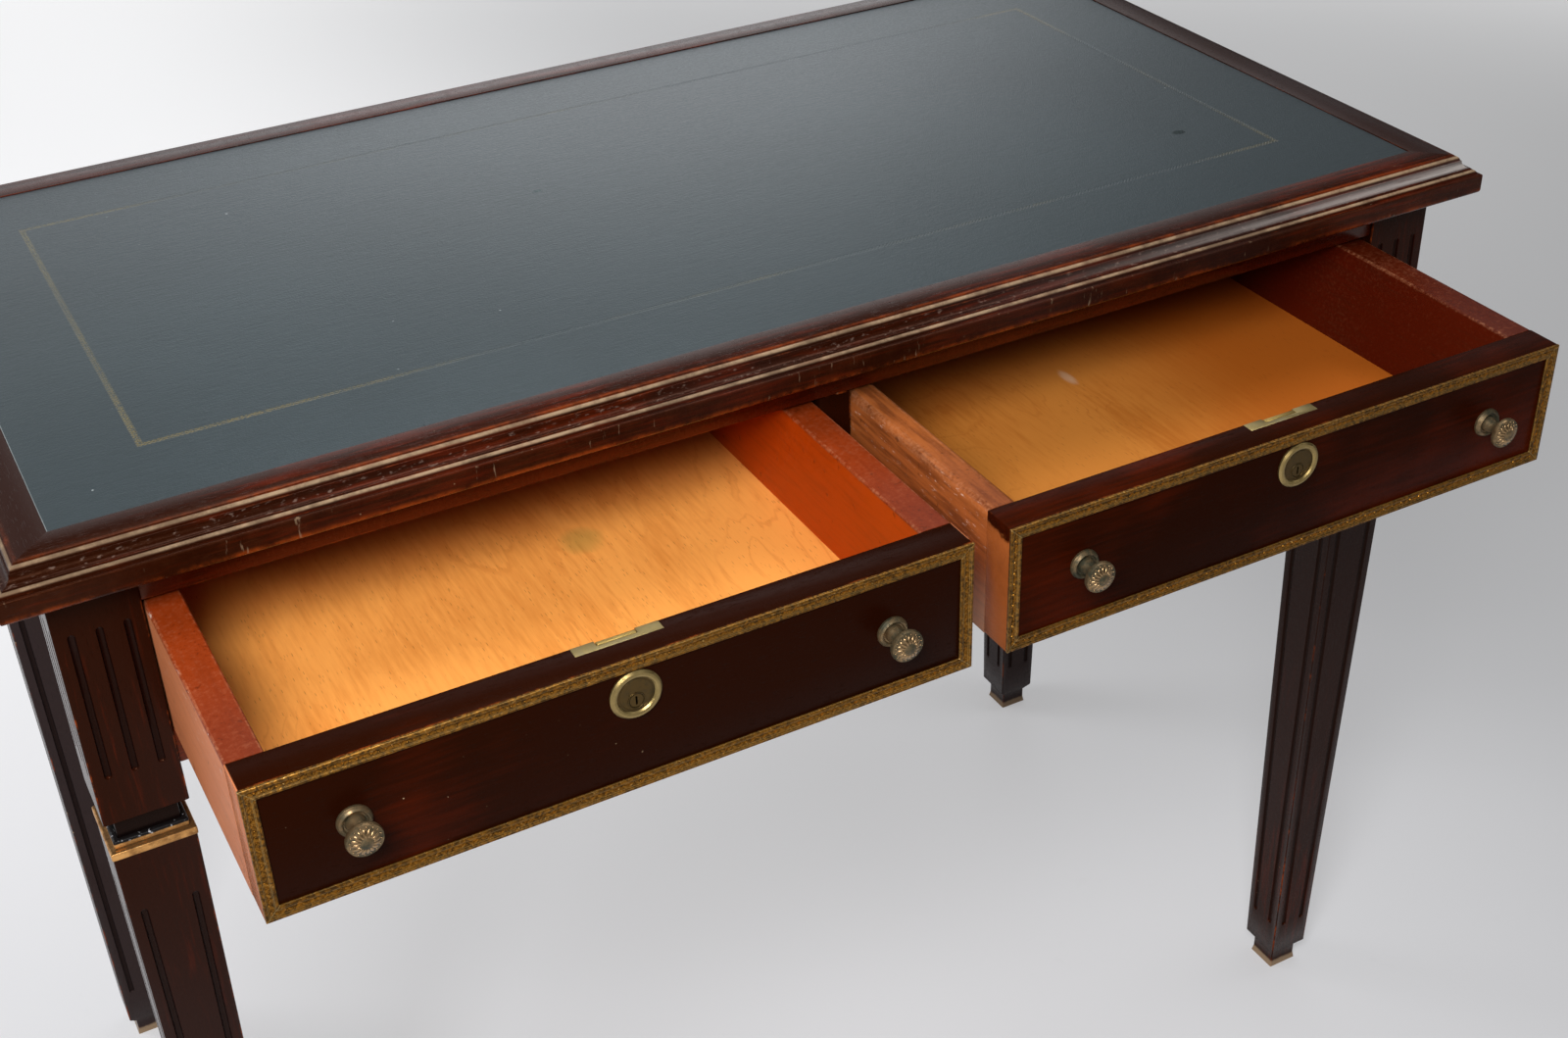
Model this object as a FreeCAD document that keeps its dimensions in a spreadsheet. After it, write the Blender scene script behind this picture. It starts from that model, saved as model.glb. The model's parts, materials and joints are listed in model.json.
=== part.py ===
import FreeCAD, Part
import math
import os
import Sketcher

# A writing desk: moulded top with inset leather, four fluted tapered legs, two sliding drawers
# with brass frames, knobs and locks, and a back that repeats the front with fixed false fronts.
# Lengths are in millimetres. X runs to the right, Y to the back and Z up.
# The drawers are built half pulled out, and the origin lies on the floor under the middle of the
# space that the desk then takes up.

SIZES = {
    # Top: outer size, then the edge moulding from the flat border outwards and downwards
    "desk_height": 760.0,
    "top_width": 985.0,
    "top_depth": 518.0,
    "top_thickness": 26.0,
    "border_width": 21.0,
    "arris_step": 0.6,
    "top_bead": 3.0,
    "bead_ledge": 0.8,
    "cove_radius": 5.0,
    "cove_step": 0.7,
    "lower_bead": 2.8,
    "fascia_ledge": 1.6,
    "fascia_round": 1.2,
    "under_round": 2.8,
    "leather_thickness": 1.5,
    "leather_sink": 0.6,
    # Legs, from the square block at the top to the toe on the floor
    "top_overhang": 23.2,
    "block_width": 48.2,
    "block_height": 160.0,
    "block_chamfer": 0.8,
    "leg_corner_round": 0.9,
    "neck_width": 36.0,
    "neck_height": 25.5,
    "shaft_top_width": 47.8,
    "shaft_foot_width": 34.9,
    "shaft_foot_rise": 22.5,
    "toe_neck_width": 24.0,
    "toe_neck_rise": 15.0,
    "toe_rise": 5.5,
    "toe_width": 26.0,
    "flute_radius": 2.3,
    "flute_depth": 1.5,
    "block_flute_pitch": 14.7,
    "block_flute_margin": 31.0,
    "shaft_flute_edge": 8.5,
    "shaft_flute_top_margin": 40.5,
    "shaft_flute_foot_margin": 30.0,
    # Collar around each leg's neck, in two steps
    "collar_lower_width": 49.0,
    "collar_lower_height": 5.6,
    "collar_upper_width": 42.6,
    "collar_upper_height": 5.4,
    "collar_chamfer": 0.7,
    # Rails, stiles and aprons between the leg blocks
    "rail_setback": 2.0,
    "top_rail_height": 24.0,
    "lower_rail_height": 22.0,
    "stile_width": 21.4,
    "stile_depth": 18.0,
    "apron_setback": 11.0,
    "apron_thickness": 20.0,
    "false_front_thickness": 20.0,
    # Timbers that carry and guide the drawers
    "runner_thickness": 12.0,
    "runner_reach": 22.0,
    "guide_height": 28.0,
    "centre_runner_width": 66.0,
    "kicker_width": 21.0,
    "centre_kicker_width": 60.0,
    "stop_length": 27.0,
    "stop_width": 30.0,
    "stop_height": 20.0,
    "stop_rise": 32.0,
    "stop_inset": 84.0,
    # Drawers
    "drawer_pulled_out": 174.0,
    "drawer_height": 84.2,
    "drawer_setback": 1.2,
    "front_thickness": 22.5,
    "side_thickness": 20.2,
    "back_thickness": 14.0,
    "back_drop": 9.0,
    "bottom_thickness": 6.0,
    "bottom_rise": 8.0,
    "groove_depth": 6.0,
    # Brass frame on each drawer front
    "trim_width": 8.0,
    "trim_thickness": 2.0,
    # Knobs and the roses under them
    "knob_inset": 51.5,
    "knob_height": 43.6,
    "knob_reach": 20.5,
    "knob_face_radius": 9.9,
    "knob_foot_radius": 5.2,
    "rose_radius": 9.3,
    "rose_thickness": 3.6,
    "stud_radius": 2.2,
    "stud_length": 14.0,
    # Drawer locks
    "lock_plate_width": 50.0,
    "lock_plate_thickness": 2.0,
    "lock_case_width": 44.0,
    "lock_case_height": 42.0,
    "lock_case_depth": 8.0,
    "lock_case_wall": 0.8,
    "lock_ring_margin": 0.3,
    "barrel_radius": 9.4,
    "lock_face_radius": 10.4,
    "lock_face_thickness": 0.9,
    "lock_ring_radius": 14.7,
    "lock_ring_thickness": 2.4,
    "plug_radius": 3.9,
    "plug_drop": 4.0,
    "key_slot_width": 1.1,
    "key_slot_height": 5.2,
    "key_slot_depth": 4.0,
    "crank_disc_radius": 6.8,
    "crank_disc_thickness": 1.5,
    "crank_radius": 5.0,
    "crank_pin_radius": 1.2,
    "bolt_width": 22.4,
    "bolt_thickness": 3.0,
    "bolt_height": 38.0,
    # Screws that hold the top, driven up through the kickers
    "screw_radius": 2.0,
    "screw_head_radius": 4.2,
    "screw_head_height": 2.6,
    "screw_bite": 12.0,
    # Clearances, and the length by which a cutting body runs past what it cuts
    "overrun": 5.0,
    "fit_gap": 0.15,
    "running_gap": 0.3,
    "strike_gap": 1.5,
    "drawer_side_gap": 1.2,
    "drawer_top_gap": 4.2,
    "front_lift": 0.5,
}

# Outlines as shares of the sizes that they follow
TRIM_PROFILE_SHARES = (
    (0.0, 0.0), (1.0, 0.0), (1.0, 0.5), (0.9, 0.8), (0.76, 0.8), (0.7, 0.55), (0.3, 0.55),
    (0.22, 1.0), (0.06, 1.0), (0.0, 0.8),
)
KNOB_PROFILE_SHARES = (
    (0.44, 0.30), (0.38, 0.42), (0.44, 0.54), (0.64, 0.62), (0.97, 0.70), (1.0, 0.77),
    (0.96, 0.84), (0.84, 0.85), (0.60, 0.92), (0.28, 0.98), (0.22, 1.0),
)
ROSE_PROFILE_SHARES = ((1.0, 0.0), (1.0, 0.35), (0.93, 0.72), (0.84, 1.0), (0.74, 0.9), (0.66, 0.6))
RING_PROFILE_SHARES = (
    (0.0, 0.0), (1.0, 0.0), (1.0, 0.45), (0.72, 0.9), (0.45, 1.0), (0.18, 0.85), (0.0, 0.5),
)
# How far a crank pin leads or trails a bolt that rises evenly with the turn, in crank radii
YOKE_SLACK_SHARE = 0.215
# Screws sit at these shares of a kicker's length from its front end
SCREW_PLACE_SHARES = (0.2, 0.8)


class Size:
    """A length with the sheet expression that drives it and its present value."""

    def __init__(self, text, value):
        self.text = text
        self.value = value

    @staticmethod
    def of(number):
        return number if isinstance(number, Size) else Size(repr(float(number)), float(number))

    def __add__(self, other):
        other = Size.of(other)
        return Size(f"({self.text} + {other.text})", self.value + other.value)

    def __sub__(self, other):
        other = Size.of(other)
        return Size(f"({self.text} - {other.text})", self.value - other.value)

    def __mul__(self, other):
        other = Size.of(other)
        return Size(f"({self.text} * {other.text})", self.value * other.value)

    def __truediv__(self, other):
        other = Size.of(other)
        return Size(f"({self.text} / {other.text})", self.value / other.value)

    def __neg__(self):
        return self * -1

    __rmul__ = __mul__
    __radd__ = __add__


doc = FreeCAD.newDocument("desk")
sheet = doc.addObject("Spreadsheet::Sheet", "sizes")
for row, (alias, number) in enumerate(SIZES.items(), 1):
    sheet.set(f"A{row}", alias)
    sheet.set(f"B{row}", str(number))
    sheet.setAlias(f"B{row}", alias)
doc.recompute()


class Named:
    """The sheet's sizes by name."""

    def __getattr__(self, alias):
        return Size(f"sizes.{alias}", float(sheet.get(alias)))


size = Named()
nodes = []
X_AXIS = FreeCAD.Vector(1, 0, 0)
Z_AXIS = FreeCAD.Vector(0, 0, 1)


# Document helpers

def place(item, x=0, y=0, z=0, axis=Z_AXIS, quarter_turns=0):
    """Turn an object by quarter turns and bind its position."""
    item.Placement.Rotation = FreeCAD.Rotation(axis, 90 * quarter_turns)
    for letter, length in zip("xyz", (x, y, z)):
        if isinstance(length, Size):
            item.setExpression(f"Placement.Base.{letter}", length.text)
    return item


def keep(item, label):
    """Name an object as one of the sub-parts."""
    item.Label = label
    nodes.append(item)
    return item


def box(name, length, width, height, x=0, y=0, z=0):
    item = doc.addObject("Part::Box", name)
    item.setExpression("Length", length.text)
    item.setExpression("Width", width.text)
    item.setExpression("Height", height.text)
    return place(item, x, y, z)


def rod(name, radius, height, x=0, y=0, z=0, axis=X_AXIS, quarter_turns=0):
    """A cylinder: along Z, or turned by quarter turns about an axis."""
    item = doc.addObject("Part::Cylinder", name)
    item.setExpression("Radius", radius.text)
    item.setExpression("Height", height.text)
    return place(item, x, y, z, axis, quarter_turns)


def cone(name, foot_radius, top_radius, height, x=0, y=0, z=0):
    item = doc.addObject("Part::Cone", name)
    item.setExpression("Radius1", foot_radius.text)
    item.setExpression("Radius2", top_radius.text)
    item.setExpression("Height", height.text)
    return place(item, x, y, z)


def fuse(name, items):
    item = doc.addObject("Part::MultiFuse", name)
    item.Shapes = items
    item.Refine = True
    return item


def cut(name, base, tools):
    item = doc.addObject("Part::Cut", name)
    item.Base = base
    item.Tool = tools[0] if len(tools) == 1 else fuse(name + "_cutters", tools)
    return item


def group(name, items):
    item = doc.addObject("Part::Compound", name)
    item.Links = items
    return item


def sketch_on(body, name, role, height=None):
    """A sketch on one of the body's own base planes, raised by a height."""
    plane = next(item for item in body.Origin.OriginFeatures if item.Role == role)
    sketch = body.newObject("Sketcher::SketchObject", name)
    sketch.AttachmentSupport = [(plane, "")]
    sketch.MapMode = "FlatFace"
    if isinstance(height, Size):
        sketch.setExpression("AttachmentOffset.Base.z", height.text)
    return sketch


def pin_point(sketch, line, end, across, up):
    """Hold one end of a line or arc at its two distances from the sketch's origin."""
    for kind, length, other_axis in (("DistanceX", across, -2), ("DistanceY", up, -1)):
        if isinstance(length, Size):
            index = sketch.addConstraint(Sketcher.Constraint(kind, -1, 1, line, end, length.value))
            sketch.setExpression(f"Constraints[{index}]", length.text)
        else:
            sketch.addConstraint(Sketcher.Constraint("PointOnObject", line, end, other_axis))


def point(across, up):
    return FreeCAD.Vector(Size.of(across).value, Size.of(up).value, 0)


def arc_between(start, end, radius, turn):
    """The minor arc from start to end; turn is 1 for anticlockwise and -1 for clockwise."""
    chord = end - start
    sagging = math.sqrt(max(radius ** 2 - (chord.Length / 2) ** 2, 0))
    left = FreeCAD.Vector(-chord.y, chord.x, 0).normalize()
    centre = (start + end) / 2 + left * sagging * turn
    first, last = (start, end) if turn > 0 else (end, start)
    angles = [math.atan2(spot.y - centre.y, spot.x - centre.x) for spot in (first, last)]
    return Part.ArcOfCircle(Part.Circle(centre, Z_AXIS, radius), *angles)


def trace(sketch, stops):
    """Close an outline through stops: (across, up), or (across, up, radius, turn) reached by an arc."""
    count = len(stops)
    ends = []
    for index in range(count):
        here = stops[index]
        following = stops[(index + 1) % count]
        start = point(*here[:2])
        end = point(*following[:2])
        if len(following) == 2:
            line = sketch.addGeometry(Part.LineSegment(start, end))
            ends.append((line, 1, 2))
        else:
            radius, turn = following[2:]
            line = sketch.addGeometry(arc_between(start, end, radius.value, turn))
            ends.append((line, 1, 2) if turn > 0 else (line, 2, 1))
            bound = sketch.addConstraint(Sketcher.Constraint("Radius", line, radius.value))
            sketch.setExpression(f"Constraints[{bound}]", radius.text)
    for index, (line, start_end, far_end) in enumerate(ends):
        following, following_start, unused = ends[(index + 1) % count]
        sketch.addConstraint(Sketcher.Constraint("Coincident", line, far_end, following, following_start))
        pin_point(sketch, line, start_end, *stops[index][:2])


def padded(name, role, stops, length):
    """A body that carries one outline along the normal of its plane."""
    body = doc.addObject("PartDesign::Body", name)
    sketch = sketch_on(body, name + "_outline", role)
    trace(sketch, stops)
    pad = body.newObject("PartDesign::Pad", name + "_pad")
    pad.Profile = sketch
    pad.setExpression("Length", length.text)
    return body


def turned(name, stops):
    """A body turned about Z from half an outline of (radius, height) stops."""
    body = doc.addObject("PartDesign::Body", name)
    sketch = sketch_on(body, name + "_outline", "XZ_Plane")
    trace(sketch, stops)
    turning = body.newObject("PartDesign::Revolution", name + "_turning")
    turning.Profile = sketch
    turning.ReferenceAxis = (sketch, ["V_Axis"])
    turning.Angle = 360
    return body


def square_loft(body, name, sections, corner):
    """Round-cornered squares, given as (height, width), joined by straight sides."""
    sketches = []
    for index, (height, width) in enumerate(sections):
        sketch = sketch_on(body, f"{name}_section_{index}", "XY_Plane", height)
        edge = width / 2
        flat = edge - corner
        trace(sketch, [
            (flat, -edge), (edge, -flat, corner, 1), (edge, flat), (flat, edge, corner, 1),
            (-flat, edge), (-edge, flat, corner, 1), (-edge, -flat), (-flat, -edge, corner, 1),
        ])
        sketches.append(sketch)
    loft = body.newObject("PartDesign::AdditiveLoft", name)
    loft.Profile = sketches[0]
    loft.Sections = sketches[1:]
    loft.Ruled = True
    return loft


def mitred_strip(name, stops, length, width, thickness):
    """A strip of one profile along X, with both ends mitred towards its inner side."""
    strip = padded(name + "_strip", "YZ_Plane", stops, length)
    plan = doc.addObject("Part::Wedge", name + "_plan")
    bounds = {
        "Xmin": 0, "Xmax": length, "Ymin": 0, "Ymax": width, "Zmin": 0, "Zmax": thickness,
        "X2min": width, "X2max": length - width, "Z2min": 0, "Z2max": thickness,
    }
    for bound, length_of in bounds.items():
        plan.setExpression(bound, Size.of(length_of).text)
    item = doc.addObject("Part::Common", name)
    item.Base = strip
    item.Tool = plan
    return item


# Levels and lines that several pieces share

under_top = size.desk_height - size.top_thickness
block_side = size.top_width / 2 - size.top_overhang
block_face = size.top_depth / 2 - size.top_overhang
leg_x = block_side - size.block_width / 2
leg_y = block_face - size.block_width / 2
bay_x = block_side - size.block_width
bay_y = block_face - size.block_width
block_foot = under_top - size.block_height
shaft_top = block_foot - size.neck_height
rail_face = block_face - size.rail_setback
opening_top = under_top - size.top_rail_height
drawer_base = opening_top - size.drawer_top_gap - size.drawer_height
frieze_foot = drawer_base - size.lower_rail_height
opening_width = bay_x - size.stile_width / 2
opening_height = opening_top - drawer_base
drawer_x = bay_x - opening_width / 2
drawer_width = opening_width - size.drawer_side_gap * 2
closed_face = block_face - size.drawer_setback
rest_face = closed_face + size.drawer_pulled_out
board_face = size.trim_thickness
board_back = board_face + size.front_thickness
front_reach = rest_face - board_face + size.knob_reach
desk_y = (front_reach - size.top_depth / 2) / 2
false_back = closed_face - board_face - size.false_front_thickness
drawer_length = closed_face + false_back - size.stop_length - size.running_gap
bolt_front = size.lock_case_wall + size.running_gap + size.bolt_thickness
top_rail_depth = rail_face - closed_face + board_back - bolt_front - size.strike_gap
rail_length = bay_x * 2
knob_offset = drawer_width / 2 - size.knob_inset


# Top

moulding_reach = (
    size.top_bead + size.bead_ledge + size.cove_radius + size.lower_bead + size.fascia_ledge
    + size.fascia_round
)
border_reach = moulding_reach + size.border_width
bead_level = size.top_thickness - size.arris_step
ledge_level = bead_level - size.top_bead
cove_level = ledge_level - size.cove_radius
lower_bead_level = cove_level - size.cove_step
fascia_ledge_level = lower_bead_level - size.lower_bead
fascia_level = fascia_ledge_level - size.fascia_round
fascia_ledge_in = size.fascia_round + size.fascia_ledge
cove_in = fascia_ledge_in + size.lower_bead
ledge_in = cove_in + size.cove_radius
bead_in = ledge_in + size.bead_ledge

border_profile = [
    (border_reach, 0),
    (size.under_round, 0),
    (0, size.under_round, size.under_round, -1),
    (0, fascia_level),
    (size.fascia_round, fascia_ledge_level, size.fascia_round, -1),
    (fascia_ledge_in, fascia_ledge_level),
    (cove_in, lower_bead_level, size.lower_bead, -1),
    (cove_in, cove_level),
    (ledge_in, ledge_level, size.cove_radius, 1),
    (bead_in, ledge_level),
    (moulding_reach, bead_level, size.top_bead, -1),
    (moulding_reach, size.top_thickness),
    (border_reach, size.top_thickness),
]

for border, length, corner_x, corner_y, turns in (
    ("front", size.top_width, -1, -1, 0),
    ("right", size.top_depth, 1, -1, 1),
    ("back", size.top_width, 1, 1, 2),
    ("left", size.top_depth, -1, 1, 3),
):
    rail = mitred_strip(f"border_{border}", border_profile, length, border_reach, size.top_thickness)
    place(rail, size.top_width / 2 * corner_x, size.top_depth / 2 * corner_y + desk_y, under_top,
          quarter_turns=turns)
    keep(rail, f"top_border_{border}")

field_width = size.top_width - border_reach * 2
field_depth = size.top_depth - border_reach * 2
leather_level = size.desk_height - size.leather_sink - size.leather_thickness
leather = box("leather", field_width, field_depth, size.leather_thickness,
              field_width / -2, desk_y - field_depth / 2, leather_level)
keep(leather, "writing_leather")


# Kickers under the top, and the screws that go up through them into the core

kicker_back = rail_face - top_rail_depth
kicker_length = kicker_back * 2
screw_stations = []
kicker_lines = (
    ("left", size.kicker_width / 2 - bay_x, size.kicker_width),
    ("centre", Size.of(0), size.centre_kicker_width),
    ("right", bay_x - size.kicker_width / 2, size.kicker_width),
)
for side, middle, width in kicker_lines:
    for index, share in enumerate(SCREW_PLACE_SHARES):
        screw_stations.append((f"{side}_{index}", middle, kicker_length * share - kicker_back))


def screw(name, x, y, gap):
    """A countersunk screw that starts flush under a kicker, made larger all round by a gap."""
    shank = size.top_rail_height + size.screw_bite + gap
    return fuse(name, [
        rod(name + "_shank", size.screw_radius + gap, shank, x, y, opening_top),
        cone(name + "_head", size.screw_head_radius + gap, size.screw_radius + gap,
             size.screw_head_height + gap, x, y, opening_top),
    ])


screws = [screw(f"screw_{name}", x, y, Size.of(0)) for name, x, y in screw_stations]
keep(place(group("screws", screws), y=desk_y), "top_screws")

core_blank = box("core_blank", field_width, field_depth, leather_level - under_top,
                 field_width / -2, field_depth / -2, under_top)
core_holes = [screw(f"core_hole_{name}", x, y, size.fit_gap) for name, x, y in screw_stations]
keep(place(cut("core", core_blank, core_holes), y=desk_y), "top_core")

kickers = []
for side, middle, width in kicker_lines:
    blank = box(f"kicker_blank_{side}", width, kicker_length, size.top_rail_height,
                middle - width / 2, -kicker_back, opening_top)
    holes = [
        screw(f"kicker_hole_{name}", x, y, size.fit_gap)
        for name, x, y in screw_stations if name.startswith(side)
    ]
    kickers.append(cut(f"kicker_{side}", blank, holes))
keep(place(group("kicker_group", kickers), y=desk_y), "drawer_kickers")


# Legs: one timber shape and one set of flute cutters, used for all four

def half_shaft(level):
    """Half the shaft's width at a level above the floor."""
    rise = (level - size.shaft_foot_rise.value) / (shaft_top.value - size.shaft_foot_rise.value)
    foot = size.shaft_foot_width.value / 2
    return foot + (size.shaft_top_width.value / 2 - foot) * rise


def flute_cutter(low, high):
    """A round-ended rod between two points, as wide as a flute's sweep."""
    radius = size.flute_radius.value
    length = (high - low).Length
    across = FreeCAD.Vector(radius, 0, 0)
    end_tip = Z_AXIS * (length + radius)
    slant = FreeCAD.Vector(radius, 0, radius) * math.sqrt(0.5)
    foot_slant = FreeCAD.Vector(slant.x, 0, -slant.z)
    outline = Part.Wire([
        Part.Arc(Z_AXIS * -radius, foot_slant, across).toShape(),
        Part.LineSegment(across, across + Z_AXIS * length).toShape(),
        Part.Arc(across + Z_AXIS * length, slant + Z_AXIS * length, end_tip).toShape(),
        Part.LineSegment(end_tip, Z_AXIS * -radius).toShape(),
    ])
    cutter = Part.Face(outline).revolve(FreeCAD.Vector(), Z_AXIS, 360)
    cutter.Placement = FreeCAD.Placement(low, FreeCAD.Rotation(Z_AXIS, high - low))
    return cutter


def flute_line(half_width, offset_edge, level):
    """A point on a flute's middle line on the front face, set off sideways from the leg's middle."""
    stand_off = size.flute_radius.value - size.flute_depth.value
    return FreeCAD.Vector(offset_edge, -half_width - stand_off, level)


def flutes():
    radius = size.flute_radius.value
    block_low = block_foot.value + size.block_flute_margin.value + radius
    block_high = under_top.value - size.block_flute_margin.value - radius
    shaft_low = size.shaft_foot_rise.value + size.shaft_flute_foot_margin.value + radius
    shaft_high = shaft_top.value - size.shaft_flute_top_margin.value - radius
    block_half = size.block_width.value / 2
    edge = size.shaft_flute_edge.value
    block_face_flutes = []
    for step in (-1, 0, 1):
        offset = size.block_flute_pitch.value * step
        ends = [flute_line(block_half, offset, level) for level in (block_low, block_high)]
        block_face_flutes.append(flute_cutter(*ends))
    shaft_face_flutes = []
    for side in (-1, 1):
        ends = []
        for level in (shaft_low, shaft_high):
            half = half_shaft(level)
            ends.append(flute_line(half, (half - edge) * side, level))
        shaft_face_flutes.append(flute_cutter(*ends))
    cutters = []
    for turns, face_flutes in ((0, block_face_flutes), (-1, block_face_flutes), (0, shaft_face_flutes),
                               (1, shaft_face_flutes), (2, shaft_face_flutes), (3, shaft_face_flutes)):
        for flute in face_flutes:
            turned_flute = flute.copy()
            turned_flute.rotate(FreeCAD.Vector(), Z_AXIS, 90 * turns)
            cutters.append(turned_flute)
    return Part.makeCompound(cutters)


timber = doc.addObject("PartDesign::Body", "leg_timber")
square_loft(timber, "leg_shaft", [
    (0, size.toe_width),
    (size.toe_rise, size.toe_neck_width),
    (size.toe_neck_rise, size.toe_neck_width),
    (size.shaft_foot_rise, size.shaft_foot_width),
    (shaft_top, size.shaft_top_width),
], size.leg_corner_round)
square_loft(timber, "leg_neck", [(shaft_top, size.neck_width), (block_foot, size.neck_width)],
            size.leg_corner_round)
square_loft(timber, "leg_block", [
    (block_foot, size.block_width - size.block_chamfer * 2),
    (block_foot + size.block_chamfer, size.block_width),
    (under_top, size.block_width),
], size.leg_corner_round)
flute_cutters = doc.addObject("Part::Feature", "flute_cutters")
flute_cutters.Shape = flutes()

collar_blank = doc.addObject("PartDesign::Body", "collar_blank")
collar_step = size.collar_lower_height
collar_height = collar_step + size.collar_upper_height
for name, low, high, width in (
    ("collar_lower", 0, collar_step, size.collar_lower_width),
    ("collar_upper", collar_step, collar_height, size.collar_upper_width),
):
    eased = width - size.collar_chamfer * 2
    square_loft(collar_blank, name, [
        (low, eased),
        (size.collar_chamfer + low, width),
        (high - size.collar_chamfer, width),
        (high, eased),
    ], size.leg_corner_round)
collar_hole = box("collar_hole", size.neck_width, size.neck_width, collar_height + size.overrun * 2,
                  size.neck_width / -2, size.neck_width / -2, -size.overrun)

for corner, side_x, side_y, turns in (
    ("front_left", -1, -1, 0), ("front_right", 1, -1, 1), ("back_right", 1, 1, 2), ("back_left", -1, 1, 3),
):
    leg = cut(f"fluted_{corner}", timber, [flute_cutters])
    keep(place(leg, leg_x * side_x, leg_y * side_y + desk_y, quarter_turns=turns), f"leg_{corner}")
    collar = cut(f"collar_{corner}", collar_blank, [collar_hole])
    place(collar, leg_x * side_x, leg_y * side_y + desk_y, shaft_top, quarter_turns=turns)
    keep(collar, f"leg_collar_{corner}")


# Frieze: rails and stiles at the front and back, aprons at the sides

lower_rail_depth = rail_face - bay_y
for face, direction in (("front", -1), ("back", 1)):
    for name, depth, low, height, width in (
        ("top_rail", top_rail_depth, opening_top, size.top_rail_height, rail_length),
        ("lower_rail", lower_rail_depth, frieze_foot, size.lower_rail_height, rail_length),
        ("stile", size.stile_depth, drawer_base, opening_height, size.stile_width),
    ):
        near = desk_y + rail_face - depth if direction > 0 else desk_y - rail_face
        bar = box(f"{face}_{name}_bar", width, depth, height, width / -2, near, low)
        keep(bar, f"{face}_{name}")

apron_face = block_side - size.apron_setback
for side, left in (("left", -apron_face), ("right", apron_face - size.apron_thickness)):
    apron = box(f"apron_{side}", size.apron_thickness, bay_y * 2, under_top - frieze_foot,
                left, desk_y - bay_y, frieze_foot)
    keep(apron, f"side_apron_{side}")


# Timbers that carry the drawers

runner_wall = apron_face - size.apron_thickness
runner_foot = drawer_base - size.runner_thickness
guide_top = drawer_base + size.guide_height
runner_tip = bay_x - size.runner_reach
for side, sign in (("left", -1), ("right", 1)):
    stops = [
        (runner_tip * sign, runner_foot), (runner_wall * sign, runner_foot), (runner_wall * sign, guide_top),
        (bay_x * sign, guide_top), (bay_x * sign, drawer_base), (runner_tip * sign, drawer_base),
    ]
    runner = padded(f"runner_{side}_timber", "XZ_Plane", stops, bay_y * 2)
    keep(place(runner, y=desk_y + bay_y), f"drawer_runner_{side}")

half_base = size.centre_runner_width / 2
half_rib = size.stile_width / 2
centre_runner = padded("centre_runner_timber", "XZ_Plane", [
    (-half_base, runner_foot), (half_base, runner_foot), (half_base, drawer_base), (half_rib, drawer_base),
    (half_rib, guide_top), (-half_rib, guide_top), (-half_rib, drawer_base), (-half_base, drawer_base),
], bay_y * 2)
keep(place(centre_runner, y=desk_y + bay_y), "drawer_runner_centre")

stop_blocks = []
for drawer_side in (-1, 1):
    for stop_side in (-1, 1):
        middle = drawer_x * drawer_side + (drawer_width / 2 - size.stop_inset) * stop_side
        stop_blocks.append(box("stop_block", size.stop_width, size.stop_length, size.stop_height,
                               middle - size.stop_width / 2, false_back - size.stop_length,
                               drawer_base + size.stop_rise))
keep(place(group("stops", stop_blocks), y=desk_y), "drawer_stops")


# Fittings that the drawers and the false fronts share

def trim_strips(name):
    """Four mitred brass strips, flat in the XY plane with their outer corner at the origin."""
    profile = [
        (size.trim_width * across if across else 0, size.trim_thickness * up if up else 0)
        for across, up in TRIM_PROFILE_SHARES
    ]
    frame_height = size.drawer_height - size.front_lift
    strips = []
    for index, (length, x, y) in enumerate((
        (drawer_width, 0, 0),
        (frame_height, drawer_width, 0),
        (drawer_width, drawer_width, frame_height),
        (frame_height, 0, frame_height),
    )):
        strip = mitred_strip(f"{name}_{index}", profile, length, size.trim_width, size.trim_thickness)
        strips.append(place(strip, x, y, quarter_turns=index))
    return group(name, strips)


def knob(name):
    """A knob along Z: a stud below, a foot that the rose surrounds, and a rimmed face."""
    stops = [
        (0, -size.stud_length),
        (size.stud_radius, -size.stud_length),
        (size.stud_radius, 0),
        (size.knob_foot_radius, 0),
        (size.knob_foot_radius, size.rose_thickness),
    ]
    stops += [
        (size.knob_face_radius * radius, size.knob_reach * height) for radius, height in KNOB_PROFILE_SHARES
    ]
    return turned(name, stops + [(0, size.knob_reach)])


def rose(name):
    """The moulded ring under a knob."""
    hole = size.knob_foot_radius + size.fit_gap
    stops = [(hole, 0)]
    stops += [
        (size.rose_radius * radius, size.rose_thickness * height if height else 0)
        for radius, height in ROSE_PROFILE_SHARES
    ]
    return turned(name, stops + [(hole, size.rose_thickness * ROSE_PROFILE_SHARES[-1][1])])


def stud_hole(name, x, y, z, quarter_turns):
    return rod(name, size.stud_radius + size.fit_gap, size.stud_length + size.fit_gap + size.overrun,
               x, y, z, quarter_turns=quarter_turns)


knob_sides = (("left", -1), ("right", 1))


# Back: false fronts with the drawers' brass frames and knobs

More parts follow.
